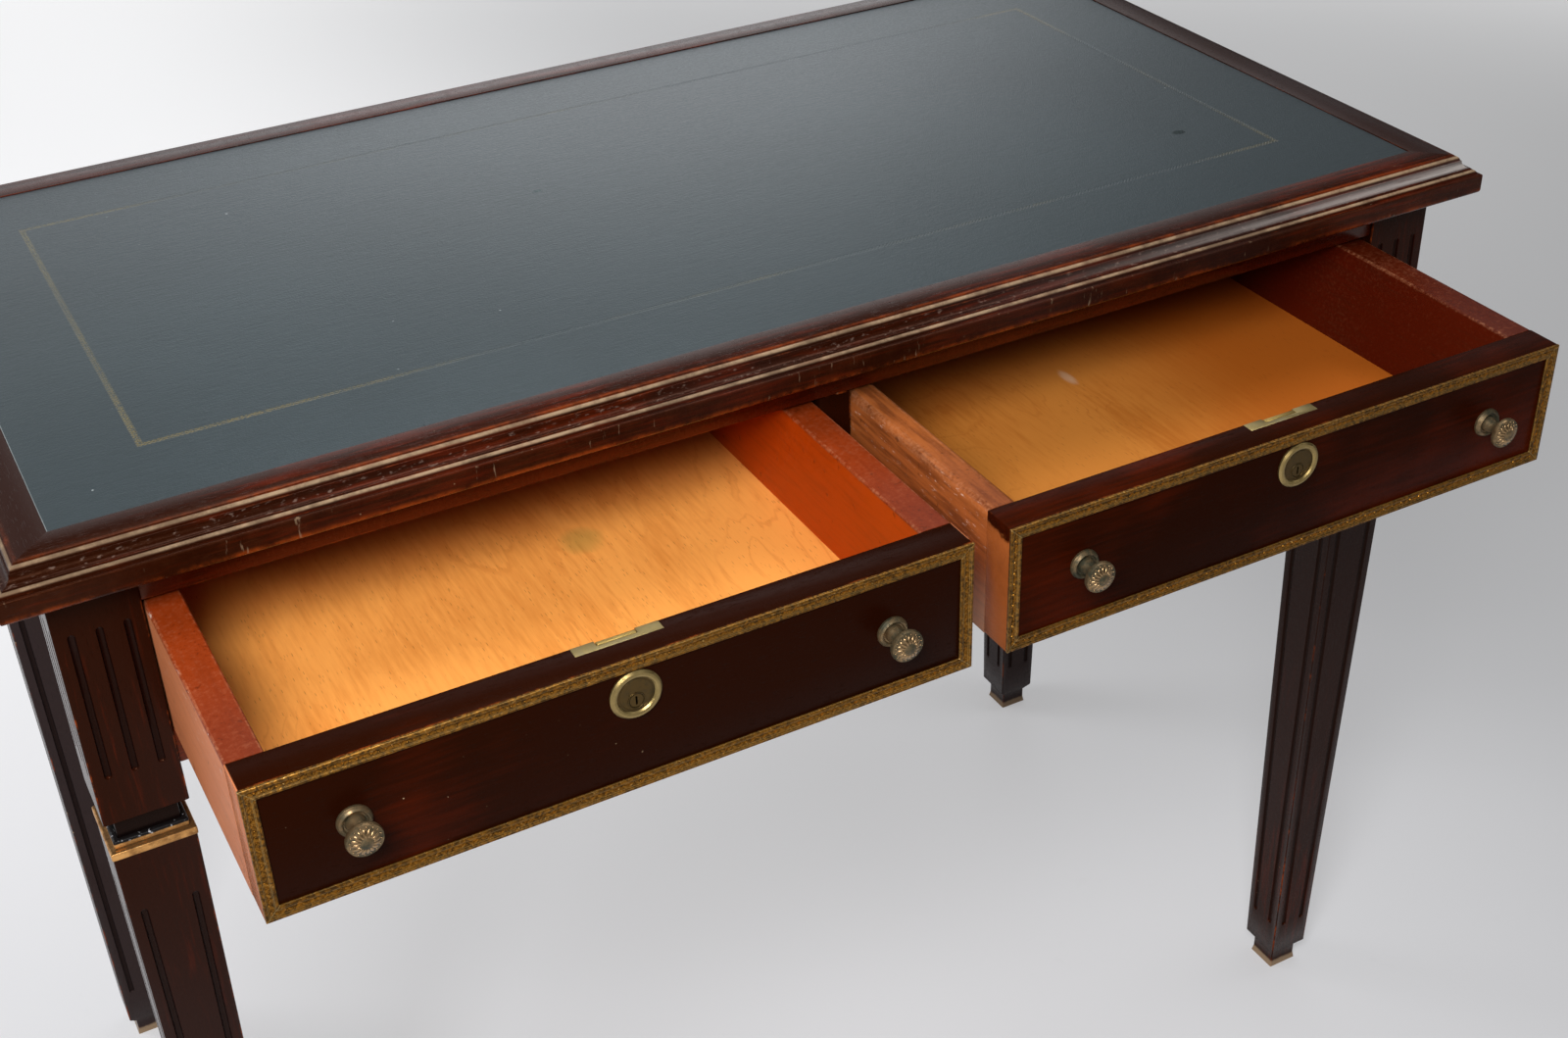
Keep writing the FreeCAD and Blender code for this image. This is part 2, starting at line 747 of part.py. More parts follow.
false_face = closed_face - board_face
false_trims = []
false_knobs = []
false_roses = []
for side, sign in knob_sides:
    blank = box(f"false_front_blank_{side}", opening_width, size.false_front_thickness, opening_height,
                drawer_x * sign - opening_width / 2, false_back, drawer_base)
    holes = []
    for knob_side, knob_sign in knob_sides:
        name = f"false_{side}_{knob_side}"
        spot = (drawer_x * sign + knob_offset * knob_sign, false_face, drawer_base + size.knob_height)
        holes.append(stud_hole(name + "_hole", spot[0], false_face + size.overrun, spot[2], 1))
        false_knobs.append(place(knob(name + "_knob"), *spot, X_AXIS, -1))
        false_roses.append(place(rose(name + "_rose"), *spot, X_AXIS, -1))
    front = cut(f"false_front_cut_{side}", blank, holes)
    keep(place(front, y=desk_y), f"false_front_{side}")
    strips = trim_strips(f"false_trim_{side}")
    false_trims.append(place(strips, drawer_x * sign - drawer_width / 2, closed_face,
                             drawer_base + size.drawer_height, X_AXIS, -1))
keep(place(group("false_trim_group", false_trims), y=desk_y), "false_front_trim")
keep(place(group("false_knob_group", false_knobs), y=desk_y), "false_front_knobs")
keep(place(group("false_rose_group", false_roses), y=desk_y), "false_front_roses")


# Drawers: built about the middle of the brass frame's face, at the level of the lower edge

lock_level = size.drawer_height - size.trim_width - size.lock_ring_margin - size.lock_ring_radius
plug_level = lock_level - size.plug_drop
case_front = board_back - size.lock_case_depth
bolt_back = board_back - size.lock_case_wall - size.running_gap
bolt_near = bolt_back - size.bolt_thickness
disc_back = bolt_near - size.running_gap
disc_near = disc_back - size.crank_disc_thickness
lock_face = board_face - size.lock_face_thickness
bolt_foot = size.drawer_height - size.bolt_height
pin_level = plug_level - size.crank_radius
yoke_half_height = size.crank_pin_radius + size.crank_radius * YOKE_SLACK_SHARE + size.running_gap
yoke_half_width = size.crank_radius + size.crank_pin_radius + size.running_gap
lock_room = size.running_gap * 2


def lock_parts(prefix):
    """Case with its top plate, face, ring, key plug with a crank, and the bolt that the crank lifts."""
    case_body = fuse(prefix + "_case_body", [
        box(prefix + "_case_box", size.lock_case_width, size.lock_case_depth, size.lock_case_height,
            size.lock_case_width / -2, case_front, size.drawer_height - size.lock_case_height),
        box(prefix + "_plate_box", size.lock_plate_width, size.lock_case_depth, size.lock_plate_thickness,
            size.lock_plate_width / -2, case_front, size.drawer_height - size.lock_plate_thickness),
    ])
    channel_width = size.bolt_width + lock_room
    case_cutters = [
        box(prefix + "_bolt_channel", channel_width, size.bolt_thickness + lock_room,
            size.bolt_height + size.running_gap + size.overrun,
            channel_width / -2, bolt_near - size.running_gap, bolt_foot - size.running_gap),
        box(prefix + "_plate_notch", channel_width, size.bolt_thickness + size.overrun,
            size.lock_plate_thickness + size.overrun,
            channel_width / -2, bolt_near - size.running_gap, size.drawer_height - size.lock_plate_thickness),
        rod(prefix + "_disc_room", size.crank_disc_radius + size.running_gap,
            size.crank_disc_thickness + lock_room, 0, disc_back + size.running_gap, plug_level,
            quarter_turns=1),
        rod(prefix + "_plug_room", size.plug_radius + size.running_gap, size.lock_case_depth,
            0, disc_back, plug_level, quarter_turns=1),
    ]
    case = cut(prefix + "_case", case_body, case_cutters)

    barrel_body = fuse(prefix + "_barrel_body", [
        rod(prefix + "_barrel", size.barrel_radius, case_front - board_face, 0, case_front, lock_level,
            quarter_turns=1),
        rod(prefix + "_face_disc", size.lock_face_radius, size.lock_face_thickness, 0, board_face,
            lock_level, quarter_turns=1),
    ])
    plug_bore = rod(prefix + "_plug_bore", size.plug_radius + size.running_gap,
                    case_front - lock_face + size.overrun * 2,
                    0, case_front + size.overrun, plug_level, quarter_turns=1)
    cylinder = cut(prefix + "_cylinder", barrel_body, [plug_bore])

    ring_hole = size.lock_face_radius + size.fit_gap
    ring_band = size.lock_ring_radius - ring_hole
    ring = turned(prefix + "_ring", [
        (ring_hole + ring_band * across, size.lock_ring_thickness * up if up else 0)
        for across, up in RING_PROFILE_SHARES
    ])
    place(ring, 0, board_face, lock_level, X_AXIS, 1)

    plug_body = fuse(prefix + "_plug_body", [
        rod(prefix + "_plug_barrel", size.plug_radius, disc_near - lock_face + size.running_gap,
            0, disc_near + size.running_gap, plug_level, quarter_turns=1),
        rod(prefix + "_crank_disc", size.crank_disc_radius, size.crank_disc_thickness,
            0, disc_back, plug_level, quarter_turns=1),
        rod(prefix + "_crank_pin", size.crank_pin_radius, bolt_back - disc_near,
            0, bolt_back, pin_level, quarter_turns=1),
    ])
    key_slot = box(prefix + "_key_slot", size.key_slot_width, size.key_slot_depth + size.overrun,
                   size.key_slot_height, size.key_slot_width / -2, lock_face - size.overrun,
                   plug_level - size.key_slot_height / 2)
    plug = cut(prefix + "_plug", plug_body, [key_slot])

    bolt_blank = box(prefix + "_bolt_blank", size.bolt_width, size.bolt_thickness, size.bolt_height,
                     size.bolt_width / -2, bolt_near, bolt_foot)
    yoke = box(prefix + "_yoke", yoke_half_width * 2, size.bolt_thickness + size.overrun * 2,
               yoke_half_height * 2, -yoke_half_width, bolt_near - size.overrun, pin_level - yoke_half_height)
    bolt = cut(prefix + "_bolt", bolt_blank, [yoke])
    return {
        "lock_case": case, "lock_cylinder": cylinder, "lock_ring": ring, "key_plug": plug, "lock_bolt": bolt,
    }


def drawer(prefix, middle):
    """All the pieces of one drawer, most of them placed with the drawer's own origin."""
    face_y = desk_y - rest_face
    inner_half = drawer_width / 2 - size.side_thickness
    floor_width = (inner_half + size.groove_depth) * 2
    floor_front = board_back - size.groove_depth
    floor_groove = box(prefix + "_floor_groove", floor_width, drawer_length, size.bottom_thickness,
                       floor_width / -2, floor_front, size.bottom_rise)

    knob_places = [(side, knob_offset * sign) for side, sign in knob_sides]
    front_blank = box(prefix + "_front_blank", drawer_width, size.front_thickness,
                      size.drawer_height - size.front_lift, drawer_width / -2, board_face, size.front_lift)
    front_cutters = [
        floor_groove,
        box(prefix + "_case_mortise", size.lock_case_width, size.lock_case_depth + size.overrun,
            size.lock_case_height + size.overrun,
            size.lock_case_width / -2, case_front, size.drawer_height - size.lock_case_height),
        box(prefix + "_plate_mortise", size.lock_plate_width, size.lock_case_depth + size.overrun,
            size.lock_plate_thickness + size.overrun,
            size.lock_plate_width / -2, case_front, size.drawer_height - size.lock_plate_thickness),
        rod(prefix + "_barrel_hole", size.barrel_radius + size.fit_gap, size.front_thickness,
            0, case_front + size.running_gap, lock_level, quarter_turns=1),
    ]
    front_cutters += [
        stud_hole(f"{prefix}_stud_hole_{side}", x, board_face - size.overrun, size.knob_height, -1)
        for side, x in knob_places
    ]
    pieces = {"front": cut(prefix + "_front", front_blank, front_cutters)}

    for side, left in (("left", drawer_width / -2), ("right", inner_half)):
        blank = box(f"{prefix}_side_blank_{side}", size.side_thickness, drawer_length - board_back,
                    size.drawer_height, left, board_back, 0)
        pieces[f"{side}_side"] = cut(f"{prefix}_side_{side}", blank, [floor_groove])
    floor_top = size.bottom_rise + size.bottom_thickness
    back_board = box(prefix + "_back_board", inner_half * 2, size.back_thickness,
                     size.drawer_height - size.back_drop - floor_top, middle - inner_half,
                     face_y + drawer_length - size.back_thickness, drawer_base + floor_top)
    keep(back_board, f"{prefix}_back")
    bottom_board = box(prefix + "_bottom_board", floor_width, drawer_length - floor_front,
                       size.bottom_thickness, middle - floor_width / 2, face_y + floor_front,
                       drawer_base + size.bottom_rise)
    keep(bottom_board, f"{prefix}_bottom")

    strips = trim_strips(prefix + "_trim_strips")
    place(strips, drawer_width / -2, board_face, size.front_lift, X_AXIS, 1)
    pieces["trim"] = group(prefix + "_trim", [strips])
    pieces["knobs"] = group(prefix + "_knobs", [
        place(knob(f"{prefix}_knob_{side}"), x, board_face, size.knob_height, X_AXIS, 1)
        for side, x in knob_places
    ])
    pieces["knob_roses"] = group(prefix + "_roses", [
        place(rose(f"{prefix}_rose_{side}"), x, board_face, size.knob_height, X_AXIS, 1)
        for side, x in knob_places
    ])
    locks = lock_parts(prefix)
    locks["lock_ring"] = group(prefix + "_ring_group", [locks["lock_ring"]])
    pieces.update(locks)
    for name, piece in pieces.items():
        keep(place(piece, middle, face_y, drawer_base), f"{prefix}_{name}")


drawer("left_drawer", -drawer_x)
drawer("right_drawer", drawer_x)


# Check every object, then write one file for each sub-part

doc.recompute()
for item in doc.Objects:
    if "Invalid" in item.State or "Error" in item.State:
        raise RuntimeError(f"{item.Label} failed: {item.State}")
for item in nodes:
    if item.Shape.isNull() or not item.Shape.isValid() or not item.Shape.Solids:
        raise RuntimeError(f"{item.Label} has no sound solid")

os.makedirs("parts", exist_ok=True)
for item in nodes:
    item.Shape.exportStep(f"parts/{item.Label}.step")
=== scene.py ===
"""A writing desk with a leather top and two frieze drawers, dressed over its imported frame."""

import bisect
import json
import math

import bmesh
import bpy
from mathutils import Euler, Matrix, Vector


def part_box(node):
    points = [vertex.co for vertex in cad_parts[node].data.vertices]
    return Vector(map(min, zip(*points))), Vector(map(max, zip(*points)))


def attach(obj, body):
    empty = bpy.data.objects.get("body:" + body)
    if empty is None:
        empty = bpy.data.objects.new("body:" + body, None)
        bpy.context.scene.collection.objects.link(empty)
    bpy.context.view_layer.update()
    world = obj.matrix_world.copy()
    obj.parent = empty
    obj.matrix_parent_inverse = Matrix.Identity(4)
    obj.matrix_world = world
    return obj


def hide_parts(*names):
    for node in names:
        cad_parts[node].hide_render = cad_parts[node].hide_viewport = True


bl_info = {
    "name": "Partners Desk",
    "version": (1, 0, 0),
    "blender": (4, 5, 0),
    "location": "View3D > Sidebar > Desk",
    "description": "Dresses a writing desk in dark timber, leather and brass",
    "category": "Object",
}

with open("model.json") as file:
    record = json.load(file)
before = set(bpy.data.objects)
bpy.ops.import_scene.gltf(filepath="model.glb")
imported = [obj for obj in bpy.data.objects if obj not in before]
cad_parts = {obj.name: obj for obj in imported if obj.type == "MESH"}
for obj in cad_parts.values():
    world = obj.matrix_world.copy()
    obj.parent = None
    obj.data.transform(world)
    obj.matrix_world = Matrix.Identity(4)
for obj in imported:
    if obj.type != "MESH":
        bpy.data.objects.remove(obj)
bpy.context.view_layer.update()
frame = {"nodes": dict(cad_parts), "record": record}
NODES = frame["nodes"]
BODY_OF = {node: body for body, nodes in frame["record"]["behaviour"]["bodies"].items() for node in nodes}
SIDES = ("left", "right")
CORNERS = ("front_left", "front_right", "back_left", "back_right")

LEATHER_LOW, LEATHER_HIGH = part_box("writing_leather")
LEATHER_MIDDLE = (LEATHER_LOW + LEATHER_HIGH) / 2
BORDER_BOXES = [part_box(f"top_border_{edge}") for edge in ("front", "back", "left", "right")]
TOP_LOW = Vector([min(low[i] for low, high in BORDER_BOXES) for i in range(3)])
TOP_HIGH = Vector([max(high[i] for low, high in BORDER_BOXES) for i in range(3)])
COLLAR_LOW, COLLAR_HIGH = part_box("leg_collar_front_left")

# All lengths and places are in metres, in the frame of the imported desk.
MERGE_DISTANCE = 0.000002
NECK_RISE = 0.0255
EASED_WIDTH = {
    "leather": 0.0005, "collar": 0.0006, "brass strip": 0.00015, "lock case": 0.0003, "lock bolt": 0.0004,
    "drawer back": 0.0012, "drawer side": 0.0016, "rubbed side": 0.0045,
}

# How far in from the edge of the top each band of its moulding starts and stops.
INNER_EDGE = (0.0142, 0.0165)
UPPER_CREST = (0.0119, 0.0136)
LOWER_CREST = (0.0034, 0.0050)
COVE = (0.006, 0.0108)
# The band of the cove that takes the painted reflection.
COVE_BACK = (0.0074, 0.0106)

# Marks at one place on the plan: x, y and, for a blot, its radius.
BLOTS = ((0.347, -0.029, 0.006), (-0.077, 0.120, 0.004))
BLOT_STRETCH = (1, 1.6)
STAIN_PLACE = (-0.158, -0.112)
SMEAR_PLACE = (0.211, -0.098)
SMEAR_STRETCH = (3, 1)

# The pitch of the gold line's weave, and the forms on the brass frames: a bead's rise is a share of a leaf's.
WEAVE_PITCH = 0.0052
LEAF_LEAN = math.radians(38)
LEAF_SIZE = (0.0019, 0.0009)
BEAD_SIZE = (0.0006, 0.0006)
BEAD_RISE = 0.9

# A knob's face in shares of the knob's radius, but of its reach for the fall, each sink and the boss's rise.
FACE_FALL = 0.13
PETAL_OUT, PETAL_SINK, PETAL_LENGTH, PETAL_RISE = 0.56, 0.083, 0.25, 0.05
PETAL_RING, PETAL_FILL = 0.58, 0.9
PIP_OUT, PIP_SINK, PIP_SIZE = 0.82, 0.145, (0.055, 0.06, 0.05)
BOSS_SINK, BOSS_RADIUS, BOSS_RISE = 0.03, 0.2, 0.028

# Radius of each ring on a lock's face, and of the wire that makes it.
PLUG_COLLAR = (0.0047, 0.00035)
FACE_LINE = (0.0094, 0.0002)

# Scale of a timber's noise on the three axes, by the axis that its grain runs along.
GRAIN = {"x": (5, 70, 70), "y": (70, 5, 70), "z": (70, 70, 5)}


def paint(code):
    """A colour written as six hex digits, in the renderer's linear numbers."""
    shades = [int(code[i:i + 2], 16) / 255 for i in (0, 2, 4)]
    return tuple(s / 12.92 if s <= 0.04045 else ((s + 0.055) / 1.055) ** 2.4 for s in shades)


def dimmed(colour, shares):
    """A colour with each of its three numbers cut to a share of itself."""
    return tuple(number * share for number, share in zip(colour, shares))


# Linear colours of wear and marks that have no setting of their own, and of painted shade, painted shadow,
# painted highlights and a painted reflection.
SHADES = {
    "pore": (0.004, 0.002, 0.001), "flute": (0.003, 0.001, 0.001), "neck": (0.003, 0.002, 0.002),
    "cove glint": paint("8a7468"), "painted cove reflection": paint("aca5a0"), "worn fascia": paint("45200f"),
    "leather streak": (0.012, 0.018, 0.019), "leather blot": (0.008, 0.011, 0.010),
    "leather dust": (0.45, 0.48, 0.48), "worn leather edge and painted highlight": (0.5, 0.55, 0.56),
    "green stain": paint("94803a"), "pale smear": paint("ead0b4"),
    "side grain": paint("3d1408"), "painted shadow at foot": paint("2e1206"), "pale foot": paint("b09078"),
    "handled top": paint("4a1a10"), "side speckle": paint("c07a58"), "dark mottle": paint("3a0f05"),
    "worn side": paint("b9805c"), "side scuff": paint("e8d8ca"), "side dent": paint("2d0d05"),
    "carcass grain": paint("5b4029"), "carcass dust": paint("a89a88"),
    "dull brass": paint("6a4a1c"), "rubbed brass and painted highlight": paint("c9ad72"),
    "under gilt": paint("4e2c10"), "gilt glint": paint("e0bd84"), "painted step shadow": (0.012, 0.006, 0.003),
    "black polish": (0.005, 0.004, 0.004), "polish glint": (0.55, 0.55, 0.58),
    "floor scuff": paint("9a9b9e"),
}


def colour_property(name, description, code):
    return bpy.props.FloatVectorProperty(
        name=name, description=description, default=paint(code), size=3, min=0, max=1, subtype="COLOR")


def length_property(name, description, default):
    return bpy.props.FloatProperty(
        name=name, description=description, default=default, min=0, unit="LENGTH", precision=4)


def share_property(name, description, default):
    return bpy.props.FloatProperty(
        name=name, description=description, default=default, min=0, max=1, subtype="FACTOR")


def power_property(name, description, default):
    return bpy.props.FloatProperty(name=name, description=description, default=default, min=0, unit="POWER")


class DarkTimberProperties(bpy.types.PropertyGroup):
    """The polished show wood: top border, legs, rails and drawer fronts."""

    dark: colour_property("Dark", "Colour of the polish over most of the wood", "210902")
    red: colour_property("Red", "Colour where the polish is thin and the wood shows", "4f1604")
    bloom: colour_property("Bloom", "Dull bloom on the flats", "352c2c")
    rubbed: colour_property("Rubbed", "Colour of rubbed arrises", "9c4316")
    # Tan is laid on the moulding's crests as wear and as a painted highlight, and on the toes and fascia as
    # wear.
    tan: colour_property("Tan", "Colour of the worn crests of the moulding", "a98f72")
    bare: colour_property("Bare", "Colour of nicks down to bare wood", "c9ab86")
    sheen: colour_property("Sheen", "Tint of the shine on the polish", "ffb48c")
    gloss: share_property("Roughness", "Roughness of the polish", 0.27)
    arris: length_property("Arris", "Width of the eased edges", 0.0007)


class LeatherProperties(bpy.types.PropertyGroup):
    """The writing leather and its gold line."""

    hide: colour_property("Hide", "Colour of the leather", "2a3235")
    # The faded colour is laid on more towards the back: partly fading, partly painted sheen.
    fade_and_painted_light: colour_property("Faded", "Colour of the leather where it has faded", "364044")
    gold: colour_property("Gold", "Colour of the gold line", "94814a")
    line_inset: length_property("Line inset", "From the edge of the leather to the gold line", 0.0633)
    line_width: length_property("Line width", "Width of the gold line", 0.0042)
    grain_size: length_property("Grain size", "Size of the grain in the leather", 0.0011)


class DrawerTimberProperties(bpy.types.PropertyGroup):
    """The wood inside the drawers and the hidden carcass."""

    left_floor: colour_property("Left floor", "Colour of the left drawer's bottom", "fba751")
    right_floor: colour_property("Right floor", "Colour of the right drawer's bottom", "cd8136")
    fleck: colour_property("Fleck", "Colour of the short flecks in the bottoms", "7d3c10")
    orange: colour_property("Orange", "Stain inside the left drawer", "a83a02")
    russet: colour_property("Russet", "Rubbed upper edges of the left drawer", "86300c")
    salmon: colour_property("Salmon", "Bare outer face of the left drawer", "d07e53")
    brown: colour_property("Brown", "Rubbed side of the right drawer", "a15829")
    deep_red: colour_property("Deep red", "Stain inside the right drawer", "4b1003")
    carcass: colour_property("Carcass", "Colour of the hidden rails and runners", "8a6645")


class MetalProperties(bpy.types.PropertyGroup):
    """The brass frames, knobs, locks and collars."""

    frame: colour_property("Frame", "Colour of the brass frames", "8f601f")
    frame_crevice: colour_property("Frame crevice", "Colour in the hollows of the frames", "432c10")
    gilt: colour_property("Gilt", "Colour of the collars", "d8a05e")
    knob: colour_property("Knob", "Colour of the knobs", "9c7f5b")
    verdigris: colour_property("Verdigris", "Colour in the hollows of the knobs", "3c3a2a")
    ring: colour_property("Ring", "Colour of the lock rings", "9c8656")
    disc: colour_property("Disc", "Colour of the lock faces and key plugs", "564324")
    plate: colour_property("Plate", "Colour of the lock plates", "a3905f")
    strip: length_property("Strip", "Width of the brass strips", 0.008)
    channel: length_property("Channel", "Thickness of the strips along their middle", 0.0011)
    relief: length_property("Relief", "Height of the ornament on the frames", 0.0006)
    leaf_pitch: length_property("Leaf pitch", "From one leaf to the next along a strip", 0.0036)
    petals: bpy.props.IntProperty(name="Petals", description="Petals on a knob's face", default=16, min=3)


class StageProperties(bpy.types.PropertyGroup):
    """The floor, the lights and the camera."""

    floor: colour_property("Floor", "Colour of the studio floor", "aeaeb2")
    floor_far: colour_property("Floor, far", "Colour of the floor away from the light", "a4a4a6")
    key_power: power_property("Key", "Power of the soft key light", 40)
    top_power: power_property("Top", "Power of the light above", 20)
    back_power: power_property("Back", "Power of the light on the backdrop", 35)
    world_level: bpy.props.FloatProperty(
        name="Surround", description="Strength of the light from all round", default=0.16, min=0)
    camera_place: bpy.props.FloatVectorProperty(
        name="Camera", description="Where the camera stands", default=(-0.53032, -1.10206, 1.33114),
        subtype="TRANSLATION", unit="LENGTH")
    camera_turn: bpy.props.FloatVectorProperty(
        name="Turn", description="How the camera is turned",
        default=tuple(math.radians(a) for a in (56.89402, 1.66212, -28.44073)), subtype="EULER")
    lens: bpy.props.FloatProperty(
        name="Lens", description="Focal length on a 36 mm wide sensor", default=47.41, min=1, unit="CAMERA")


class PartnersDeskProperties(bpy.types.PropertyGroup):
    """Everything that can be set on the desk."""

    timber: bpy.props.PointerProperty(type=DarkTimberProperties)
    leather: bpy.props.PointerProperty(type=LeatherProperties)
    drawer: bpy.props.PointerProperty(type=DrawerTimberProperties)
    metal: bpy.props.PointerProperty(type=MetalProperties)
    stage: bpy.props.PointerProperty(type=StageProperties)


class Value:
    """A socket in a finish; sums on it add Math nodes."""

    def __init__(self, finish, socket):
        self.finish = finish
        self.socket = socket

    def _sum(self, operation, *terms):
        return self.finish.add("ShaderNodeMath", {"operation": operation}, dict(enumerate(terms)))

    def __add__(self, other):
        return self._sum("ADD", self, other)

    __radd__ = __add__

    def __sub__(self, other):
        return self._sum("SUBTRACT", self, other)

    def __rsub__(self, other):
        return self._sum("SUBTRACT", other, self)

    def __mul__(self, other):
        return self._sum("MULTIPLY", self, other)

    __rmul__ = __mul__

    def __mod__(self, other):
        return self._sum("FLOORED_MODULO", self, other)

    def __abs__(self):
        return self._sum("ABSOLUTE", self)

    def lower(self, other):
        return self._sum("MINIMUM", self, other)

    def higher(self, other):
        return self._sum("MAXIMUM", self, other)

    def wave(self):
        return self._sum("SINE", self)


class Finish:
    """One material, or the studio's surround, and the nodes that make it."""

    def __init__(self, holder, place="Object", ground=None):
        self.holder = holder
        self.colour = ground
        holder.use_nodes = True
        self.tree = holder.node_tree
        self.tree.nodes.clear()
        self.place = self.add("ShaderNodeTexCoord", output=place)

    @classmethod
    def named(cls, name, ground):
        """A new material that starts as one plain colour."""
        return cls(bpy.data.materials.new(name), ground=ground)

    def add(self, kind, settings=None, inputs=None, output=0):
        """A node of one type, its settings set first, then its sockets filled or linked."""
        node = self.tree.nodes.new(kind)
        for key, value in (settings or {}).items():
            setattr(node, key, value)
        for key, value in (inputs or {}).items():
            if isinstance(value, Value):
                self.tree.links.new(value.socket, node.inputs[key])
            else:
                node.inputs[key].default_value = value
        return None if output is None else Value(self, node.outputs[output])

    def axis(self, letter):
        return self.add("ShaderNodeSeparateXYZ", None, {0: self.place}, letter.upper())

    def stretched(self, scale, shift=(0, 0, 0)):
        return self.add("ShaderNodeMapping", None, {"Vector": self.place, "Scale": scale, "Location": shift})

    def noise(self, scale, detail=4, roughness=0.55, at=None, twist=0):
        return self.add("ShaderNodeTexNoise", None, {
            "Vector": at or self.place, "Scale": scale, "Detail": detail, "Roughness": roughness,
            "Distortion": twist}, "Fac")

    def cells(self, scale, at=None):
        """How far a point lies from the middle of its cell."""
        return self.add("ShaderNodeTexVoronoi", None, {
            "Vector": at or self.place, "Scale": scale}, "Distance")

    def rise(self, value, low, high):
        """Nothing below the low value, one above the high one, with a smooth step between."""
        return self.add("ShaderNodeMapRange", {"interpolation_type": "SMOOTHSTEP"}, {
            0: value, 1: low, 2: high, 3: 0.0, 4: 1.0})

    def square_from(self, place, stretch=(1, 1)):
        """The square of how far a point lies from a place on the plan."""
        across, along = ((self.axis(axis) - at) * by for axis, at, by in zip("xy", place, stretch))
        return across * across + along * along

    def mix(self, share, first, second):
        first, second = (c if isinstance(c, Value) else (*c, 1) for c in (first, second))
        return self.add("ShaderNodeMix", {"data_type": "RGBA"}, {0: share, 6: first, 7: second}, 2)

    def coat(self, share, colour):
        """Lays a share of a colour over what is there."""
        self.colour = self.mix(share, self.colour, colour)

    def mark(self, name):
        return self.add("ShaderNodeAttribute", {"attribute_name": name}, None, "Fac")

    def bump(self, height, depth, strength=0.5):
        return self.add("ShaderNodeBump", None, {"Height": height, "Distance": depth, "Strength": strength})

    def close(self, roughness, **sockets):
        """Ends the material in one shader, whose sockets are named in words joined by underscores."""
        inputs = {"Base Color": self.colour, "Roughness": roughness}
        for key, value in sockets.items():
            inputs[key.replace("_", " ").title().replace("Ior", "IOR")] = value
        return self.end("ShaderNodeOutputMaterial", self.add("ShaderNodeBsdfPrincipled", None, inputs))

    def end(self, kind, shader):
        self.add(kind, None, {"Surface": shader}, None)
        return self.holder


def dark_timber(name, along, timber, redness=0.4, bloom=0.1, rubbed=1.0, shine=0.08, moulded=False,
                fluted=False, streaky=0.65, ends=()):
    """Dark polished wood with its grain along one axis, rubbed at the arrises."""
    finish = Finish.named(name, timber.dark)
    arris = finish.mark("arris")
    streaks = finish.noise(4.5, 8, 0.62, finish.stretched(GRAIN[along]), 0.25)
    patches = finish.noise(5.5, 3, 0.5)
    thin = patches * (1.15 - streaky) + streaks * streaky
    finish.coat(finish.rise(thin, 0.72 - 0.3 * redness, 0.98 - 0.3 * redness), timber.red)
    haze = finish.noise(2.6, 2, 0.5, finish.stretched((1.0, 1.3, 1.0), (3, 1, 2)))
    finish.coat(finish.rise(haze, 0.42, 0.75) * bloom, timber.bloom)
    pores = finish.rise(finish.noise(26, 2, 0.5, finish.stretched(GRAIN[along])), 0.6, 0.75)
    finish.coat(pores * 0.45, SHADES["pore"])
    rough_edge = finish.noise(60, 5, 0.7)
    worn = arris * finish.rise(rough_edge + patches * 0.5, 0.74, 0.94) * rubbed
    finish.coat(worn * 0.7, timber.rubbed)
    if moulded:
        wear_moulding(finish, timber, patches, rough_edge)
    if fluted:
        shade_leg(finish, timber, rough_edge)
    for end, stain, polished in ends:
        at_end = 1 - finish.rise(abs(finish.axis("x") - end), 0.0004, 0.0012)
        run_over = finish.rise(finish.axis("z") + (rough_edge - 0.5) * 0.022, polished, polished + 0.004)
        finish.coat(at_end * (1 - run_over) * (0.8 + (rough_edge - 0.5) * 0.7), stain)
    specks = finish.rise(finish.noise(330, 1, 0.4), 0.8, 0.85) * finish.rise(patches, 0.52, 0.62)
    nicks = arris * finish.rise(finish.noise(140, 2, 0.5), 0.7, 0.78)
    finish.coat(specks.higher(nicks * rubbed) * 0.6, timber.bare)
    scratches = finish.noise(9, 6, 0.7, finish.stretched((14, 3, 9)))
    roughness = timber.gloss + (scratches - 0.5) * 0.16 + worn * 0.2 + pores * 0.1
    height = streaks * 0.4 + pores * -0.7 + rough_edge * 0.2
    return finish.close(
        roughness, specular_ior_level=shine, specular_tint=(*timber.sheen, 1),
        normal=finish.bump(height, 0.00022))


def shade_leg(finish, timber, rough_edge):
    """Painted shade in the flutes, with some dust in them, a worn toe, and black polish round the neck."""
    z = finish.axis("z")
    hollow = finish.mark("hollow")
    # Painted shade: the insides of the flutes are darkened.
    finish.coat(hollow * 0.75, SHADES["flute"])
    dust = finish.rise(finish.noise(7, 4, 0.65, finish.stretched((1, 1, 0.6))), 0.52, 0.7) * hollow
    finish.coat(dust * 0.3, timber.bloom)
    toe = 1 - finish.rise(z + (rough_edge - 0.5) * 0.004, 0.004, 0.007)
    finish.coat(toe * 0.8, timber.tan)
    neck_top = COLLAR_LOW.z + NECK_RISE
    above_collar = finish.rise(z, COLLAR_HIGH.z - 0.001, COLLAR_HIGH.z)
    below_block = 1 - finish.rise(z, neck_top - 0.001, neck_top)
    finish.coat(above_collar * below_block * 0.85, SHADES["neck"])


